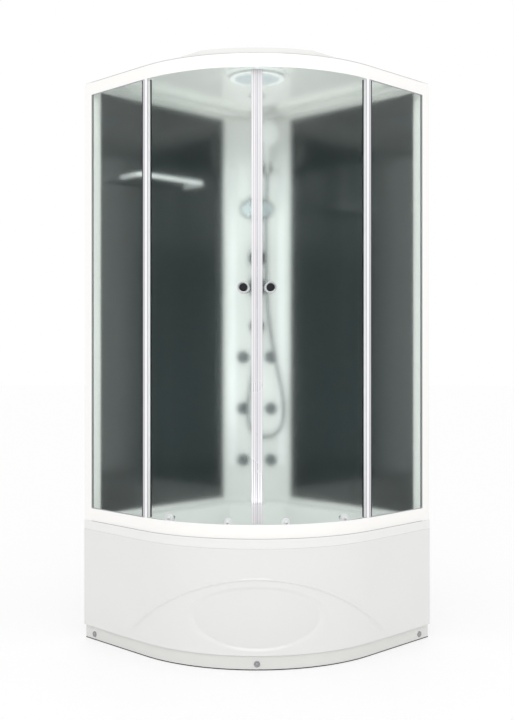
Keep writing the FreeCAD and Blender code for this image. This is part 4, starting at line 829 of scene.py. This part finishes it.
def add_apron():
    """The front panel with the field under its arch and a bead along the arch."""
    low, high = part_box("apron")
    skin, hem = .006, .030
    rows, columns, straight = 230, 290, 44  # parts of its face: up, round the arc, to each side
    face = [(0, low.z + (high.z - low.z) * number / rows, 0) for number in range(rows - 1)]
    profile = face + [(0, high.z - .0022, 0), (.0004, high.z - .0008, 0), (.0014, high.z, 0),
                      (skin, high.z, 0), (skin, low.z + skin, .002), (hem, low.z + skin, 0),
                      (hem, low.z, 0)]
    bm = follow_front(profile, 0, steps=columns, run=straight)
    for vert in bm.verts:
        x, y, level = vert.co
        if y < CENTRE:
            outward, inset = Vector((1, 0, 0)), SIDE - x
        elif x < CENTRE:
            outward, inset = Vector((0, 1, 0)), SIDE - y
        else:
            outward = Vector((x - CENTRE, y - CENTRE, 0))
            inset = BEND - outward.length
            outward.normalize()
        if inset < skin * .6:
            vert.co -= outward * arch_depth((y - x) / ROOT2, level - low.z)
    # the apron's darker look is painted shade
    dress(finished(bm, "apron_pressed", CORNER, 60), "acrylic_white", "cabin", ("apron",),
          look="apron_shaded_white")


def moulding(name, slot, inset, depth, level, height, start, look=None):
    """A thin strip round the front."""
    turn = min(depth, height) * .35
    profile = [(inset, level, turn), (inset, level + height, turn),
               (inset + depth, level + height, turn), (inset + depth, level, turn)]
    dress(finished(follow_front(profile, start), name, CORNER), slot, look=look)


def add_mouldings():
    """The dark strip along the plinth's foot, which is painted contact shadow, the seals of the
    rails and roof, and the pale lips along both rails.
    """
    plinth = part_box("plinth")
    # a thin dark strip at the plinth's foot: painted contact shadow where the plinth meets the
    # floor
    moulding("plinth_shadow_strip", "grey_plastic", plinth[0].y - TRAY[0].y - .0008, .004, .0002, .0034,
             left_box("plinth")[0].y, look="rubber")
    lower_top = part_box("lower_rail")[1].z
    upper_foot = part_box("upper_rail")[0].z
    start = left_box("wall_posts")[1].y
    inset = RAIL_INSET
    moulding("rail_seal", "grey_plastic", inset - .0006, .004, DECK - .0006, .0018, start)
    moulding("lower_rail_lip", "edge_bright", inset - .0004, .0018, lower_top - .0030, .0024,
             start)
    moulding("upper_rail_lip", "edge_bright", inset - .0004, .0018, upper_foot + .0006, .0024,
             start)
    moulding("roof_seal", "grey_plastic", inset - .0002, .004, FRAME_TOP - .0012, .0014, start)


def tip_sections(node, rounding):
    """The sections of a rail as the end at its left tip shows them, and where that end is."""
    bm = softened(node, 0)
    bmesh.ops.transform(bm, matrix=CORNER.inverted(), verts=bm.verts)
    start = min(vert.co.y for vert in bm.verts)
    tips = [face for face in bm.faces if face.calc_center_median().y < start + MERGE]
    sections = [[(SIDE - vert.co.x, vert.co.z, rounding) for vert in tip.verts] for tip in tips]
    bm.free()
    return sections, start


def add_rails():
    """The two curved rails, swept from the sections that the solids have."""
    for node in ("lower_rail", "upper_rail"):
        sections, start = tip_sections(node, .0006)
        bm = bmesh.new()
        for section in sections:
            absorb(bm, follow_front(section, start))
        rail = finished(bm, node + "_swept", CORNER, CREASE)
        dress(rail, "frame_white", "cabin", (node,))


# ---------------------------------------------------------------- upright strips

STRIP_ROUNDING = .0003                 # of the edges of the thin upright strips


def upright(bm, low, high):
    """A tall strip between two corners in the frame of the room's corner, on both sides."""
    for mirror in (Matrix.Identity(4), OTHER_SIDE):
        strip = bmesh.new()
        bmesh.ops.create_cube(strip, size=1)
        size, centre = Vector(high) - Vector(low), (Vector(high) + Vector(low)) / 2
        bmesh.ops.scale(strip, vec=size, verts=strip.verts)
        bmesh.ops.translate(strip, vec=centre, verts=strip.verts)
        bmesh.ops.bevel(strip, geom=strip.edges[:], offset=STRIP_ROUNDING,
                        offset_type="OFFSET", segments=2, profile=0.5, affect="EDGES",
                        material=-1)
        absorb(bm, strip, mirror @ CORNER)


def add_profile_lines():
    """What shows on each pane's edge profile: dark lines along both its edges, grey bands that are
    painted reflection of the polished profile, and a pale strip on the door side.
    """
    low, high = left_box("edge_profiles")
    pane = left_box("fixed_glass_left")[1].x
    proud = .0005
    bm = bmesh.new()
    upright(bm, (pane, low.y - .0106, low.z), (pane + .0012, low.y - .0068, high.z))
    upright(bm, (low.x - .0100, high.y - .0022, low.z), (low.x - .0034, high.y, high.z))
    # dark lines along both edges of the profile
    dress(finished(bm, "profile_dark_lines"), "seal_clear", "cabin", look="rubber")
    bm = bmesh.new()
    upright(bm, (pane, low.y - .0050, low.z), (pane + .0016, low.y + .001, high.z))
    upright(bm, (high.x - .001, low.y, low.z), (high.x + proud, low.y + .0066, high.z))
    # grey bands on the profile: painted reflection of the polished profile
    dress(finished(bm, "profile_reflection_bands"), "grey_plastic", "cabin", look="reflection_band_grey")
    bm = bmesh.new()
    upright(bm, (low.x - .0036, high.y - .0040, low.z), (low.x + .001, high.y - .0002, high.z))
    dress(finished(bm, "brush_holders"), "edge_bright", "cabin")
    bm = bmesh.new()
    upright(bm, (high.x - .0062, high.y - .001, low.z), (high.x - .0026, high.y + proud, high.z))
    # a grey band on the profile's door side: painted reflection of the polished profile
    dress(finished(bm, "profile_seals"), "seal_clear", "cabin", look="reflection_band_grey")


def add_glazing():
    """The gaskets that hold each fixed pane in its post and rails."""
    low, high = left_box("fixed_glass_left")
    post = left_box("wall_posts")[1].y
    profile = left_box("edge_profiles")[0].y
    bottom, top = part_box("lower_rail")[1].z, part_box("upper_rail")[0].z
    out, thick = high.x + .0022, .0022
    bm = bmesh.new()
    upright(bm, (high.x, post - .001, bottom), (out, post + .0020, top))
    upright(bm, (high.x, post, bottom - .001), (out, profile, bottom + .0022))
    upright(bm, (high.x, post, top - .0022), (out, profile, top + .001))
    upright(bm, (low.x - thick, post - .001, bottom), (low.x, post + .0020, top))
    dress(finished(bm, "pane_gaskets"), "grey_plastic", "cabin")


# the ribs of the magnetic strips, as distance from where the doors meet, and width
STRIP_RIBS = {"left": ((.0157, .0036), (.0088, .0030), (.0031, .0020)),
              "right": ((.0138, .0036), (.0062, .0032))}


def add_strip_ribs():
    """White ribs on the clear magnetic strips, where the two doors meet."""
    low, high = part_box("door_strips_left")
    spots = [CORNER.inverted() @ vertex.co
             for vertex in nodes["door_strips_left"].data.vertices]
    out = max(hypot(spot.x - CENTRE, spot.y - CENTRE) for spot in spots)
    for side, sign in SIDES.items():
        bm = bmesh.new()
        for back, width in STRIP_RIBS[side]:
            rib = bmesh.new()
            bmesh.ops.create_cube(rib, size=1)
            bmesh.ops.scale(rib, vec=(width, high.z - low.z - .002, .0016), verts=rib.verts)
            bmesh.ops.bevel(rib, geom=rib.edges[:], offset=STRIP_ROUNDING,
                            offset_type="OFFSET", segments=2, profile=0.5, affect="EDGES",
                            material=-1)
            place = radial(sign * degrees(back / out), (low.z + high.z) / 2)
            absorb(bm, rib, place @ Matrix.Translation((0, 0, out)))
        dress(finished(bm, "strip_ribs_" + side), "white_plastic", "door_" + side,
              look="frame_white")


# ---------------------------------------------------------------- stage and light

FLOOR_SIZE = 30
FLOOR_COLOUR = (.97, .97, .97, 1)
FLOOR_GLOW = .60                       # how much of the floor is shown as plain white
BULB_POWER = 3.7                       # the light in the middle of the cabin, in watts
BULB_SIZE = .20
BULB_PLACE = (0, -.16, .76)
WASH_POWER = 3.4                       # the light up to the ceiling
WASH_SIZE = .8
WASH_SPREAD = 78
WASH_PLACE = (0, -.10, .55)


def pale_floor():
    """White towards the camera, with a share of true shade under the object."""
    material = bpy.data.materials.new("pale_floor")
    material.use_nodes = True
    tree = material.node_tree
    shader = tree.nodes["Principled BSDF"]
    shader.inputs["Base Color"].default_value = FLOOR_COLOUR
    shader.inputs["Roughness"].default_value = .5
    glow = tree.nodes.new("ShaderNodeEmission")
    glow.inputs["Strength"].default_value = 1
    mix = tree.nodes.new("ShaderNodeMixShader")
    path = tree.nodes.new("ShaderNodeLightPath")
    share = tree.nodes.new("ShaderNodeMath")
    share.operation = "MULTIPLY"
    share.inputs[1].default_value = FLOOR_GLOW
    tree.links.new(path.outputs["Is Camera Ray"], share.inputs[0])
    tree.links.new(share.outputs[0], mix.inputs["Fac"])
    tree.links.new(shader.outputs[0], mix.inputs[1])
    tree.links.new(glow.outputs[0], mix.inputs[2])
    tree.links.new(mix.outputs[0], tree.nodes["Material Output"].inputs["Surface"])
    return material


def add_floor():
    bm = bmesh.new()
    bmesh.ops.create_grid(bm, x_segments=1, y_segments=1, size=FLOOR_SIZE)
    floor = finished(bm, "floor")
    floor.data.materials.append(pale_floor())


def light_world():
    """An even white world."""
    world = bpy.data.worlds.new("studio")
    bpy.context.scene.world = world
    world.use_nodes = True
    sky = world.node_tree.nodes["Background"]
    sky.inputs["Color"].default_value = (1, 1, 1, 1)
    sky.inputs["Strength"].default_value = 1


def add_softbox(name, power, width, height, place, aim):
    data = bpy.data.lights.new(name, "AREA")
    data.shape = "RECTANGLE"
    data.size, data.size_y, data.energy = width, height, power
    lamp = bpy.data.objects.new(name, data)
    lamp.location = place
    lamp.rotation_euler = (Vector(aim) - Vector(place)).to_track_quat("-Z", "Y").to_euler()
    bpy.context.collection.objects.link(lamp)


def add_cabin_lights():
    """Soft light inside the cabin, where the dark walls and the roof keep daylight out."""
    bulb = bpy.data.lights.new("cabin_light", "POINT")
    bulb.energy, bulb.shadow_soft_size = BULB_POWER, BULB_SIZE
    wash = bpy.data.lights.new("ceiling_wash", "AREA")
    wash.shape, wash.size = "DISK", WASH_SIZE
    wash.energy, wash.spread = WASH_POWER, radians(WASH_SPREAD)
    for data, place in ((bulb, BULB_PLACE), (wash, WASH_PLACE)):
        lamp = bpy.data.objects.new(data.name, data)
        lamp.location = place
        lamp.rotation_euler = (pi, 0, 0)
        lamp.visible_camera = lamp.visible_glossy = lamp.visible_transmission = False
        bpy.context.collection.objects.link(lamp)


add_camera()
add_hose()
paint_nodes()
add_rounded()
add_knobs()
add_wheels()
add_plinth_caps()
add_diverter()
add_hand_shower_face()
add_rain_shower_face()
add_fan_grille()
add_column_highlight_strips()
add_nozzle_faces()
add_threads()
add_apron()
add_rails()
add_mouldings()
add_profile_lines()
add_glazing()
add_strip_ribs()
add_floor()
light_world()
add_softbox("front_light", power=24, width=2.0, height=1.6, place=(0, -3.6, 2.7), aim=(0, 0, 1.1))
add_cabin_lights()
bpy.context.scene.view_settings.view_transform = "Standard"
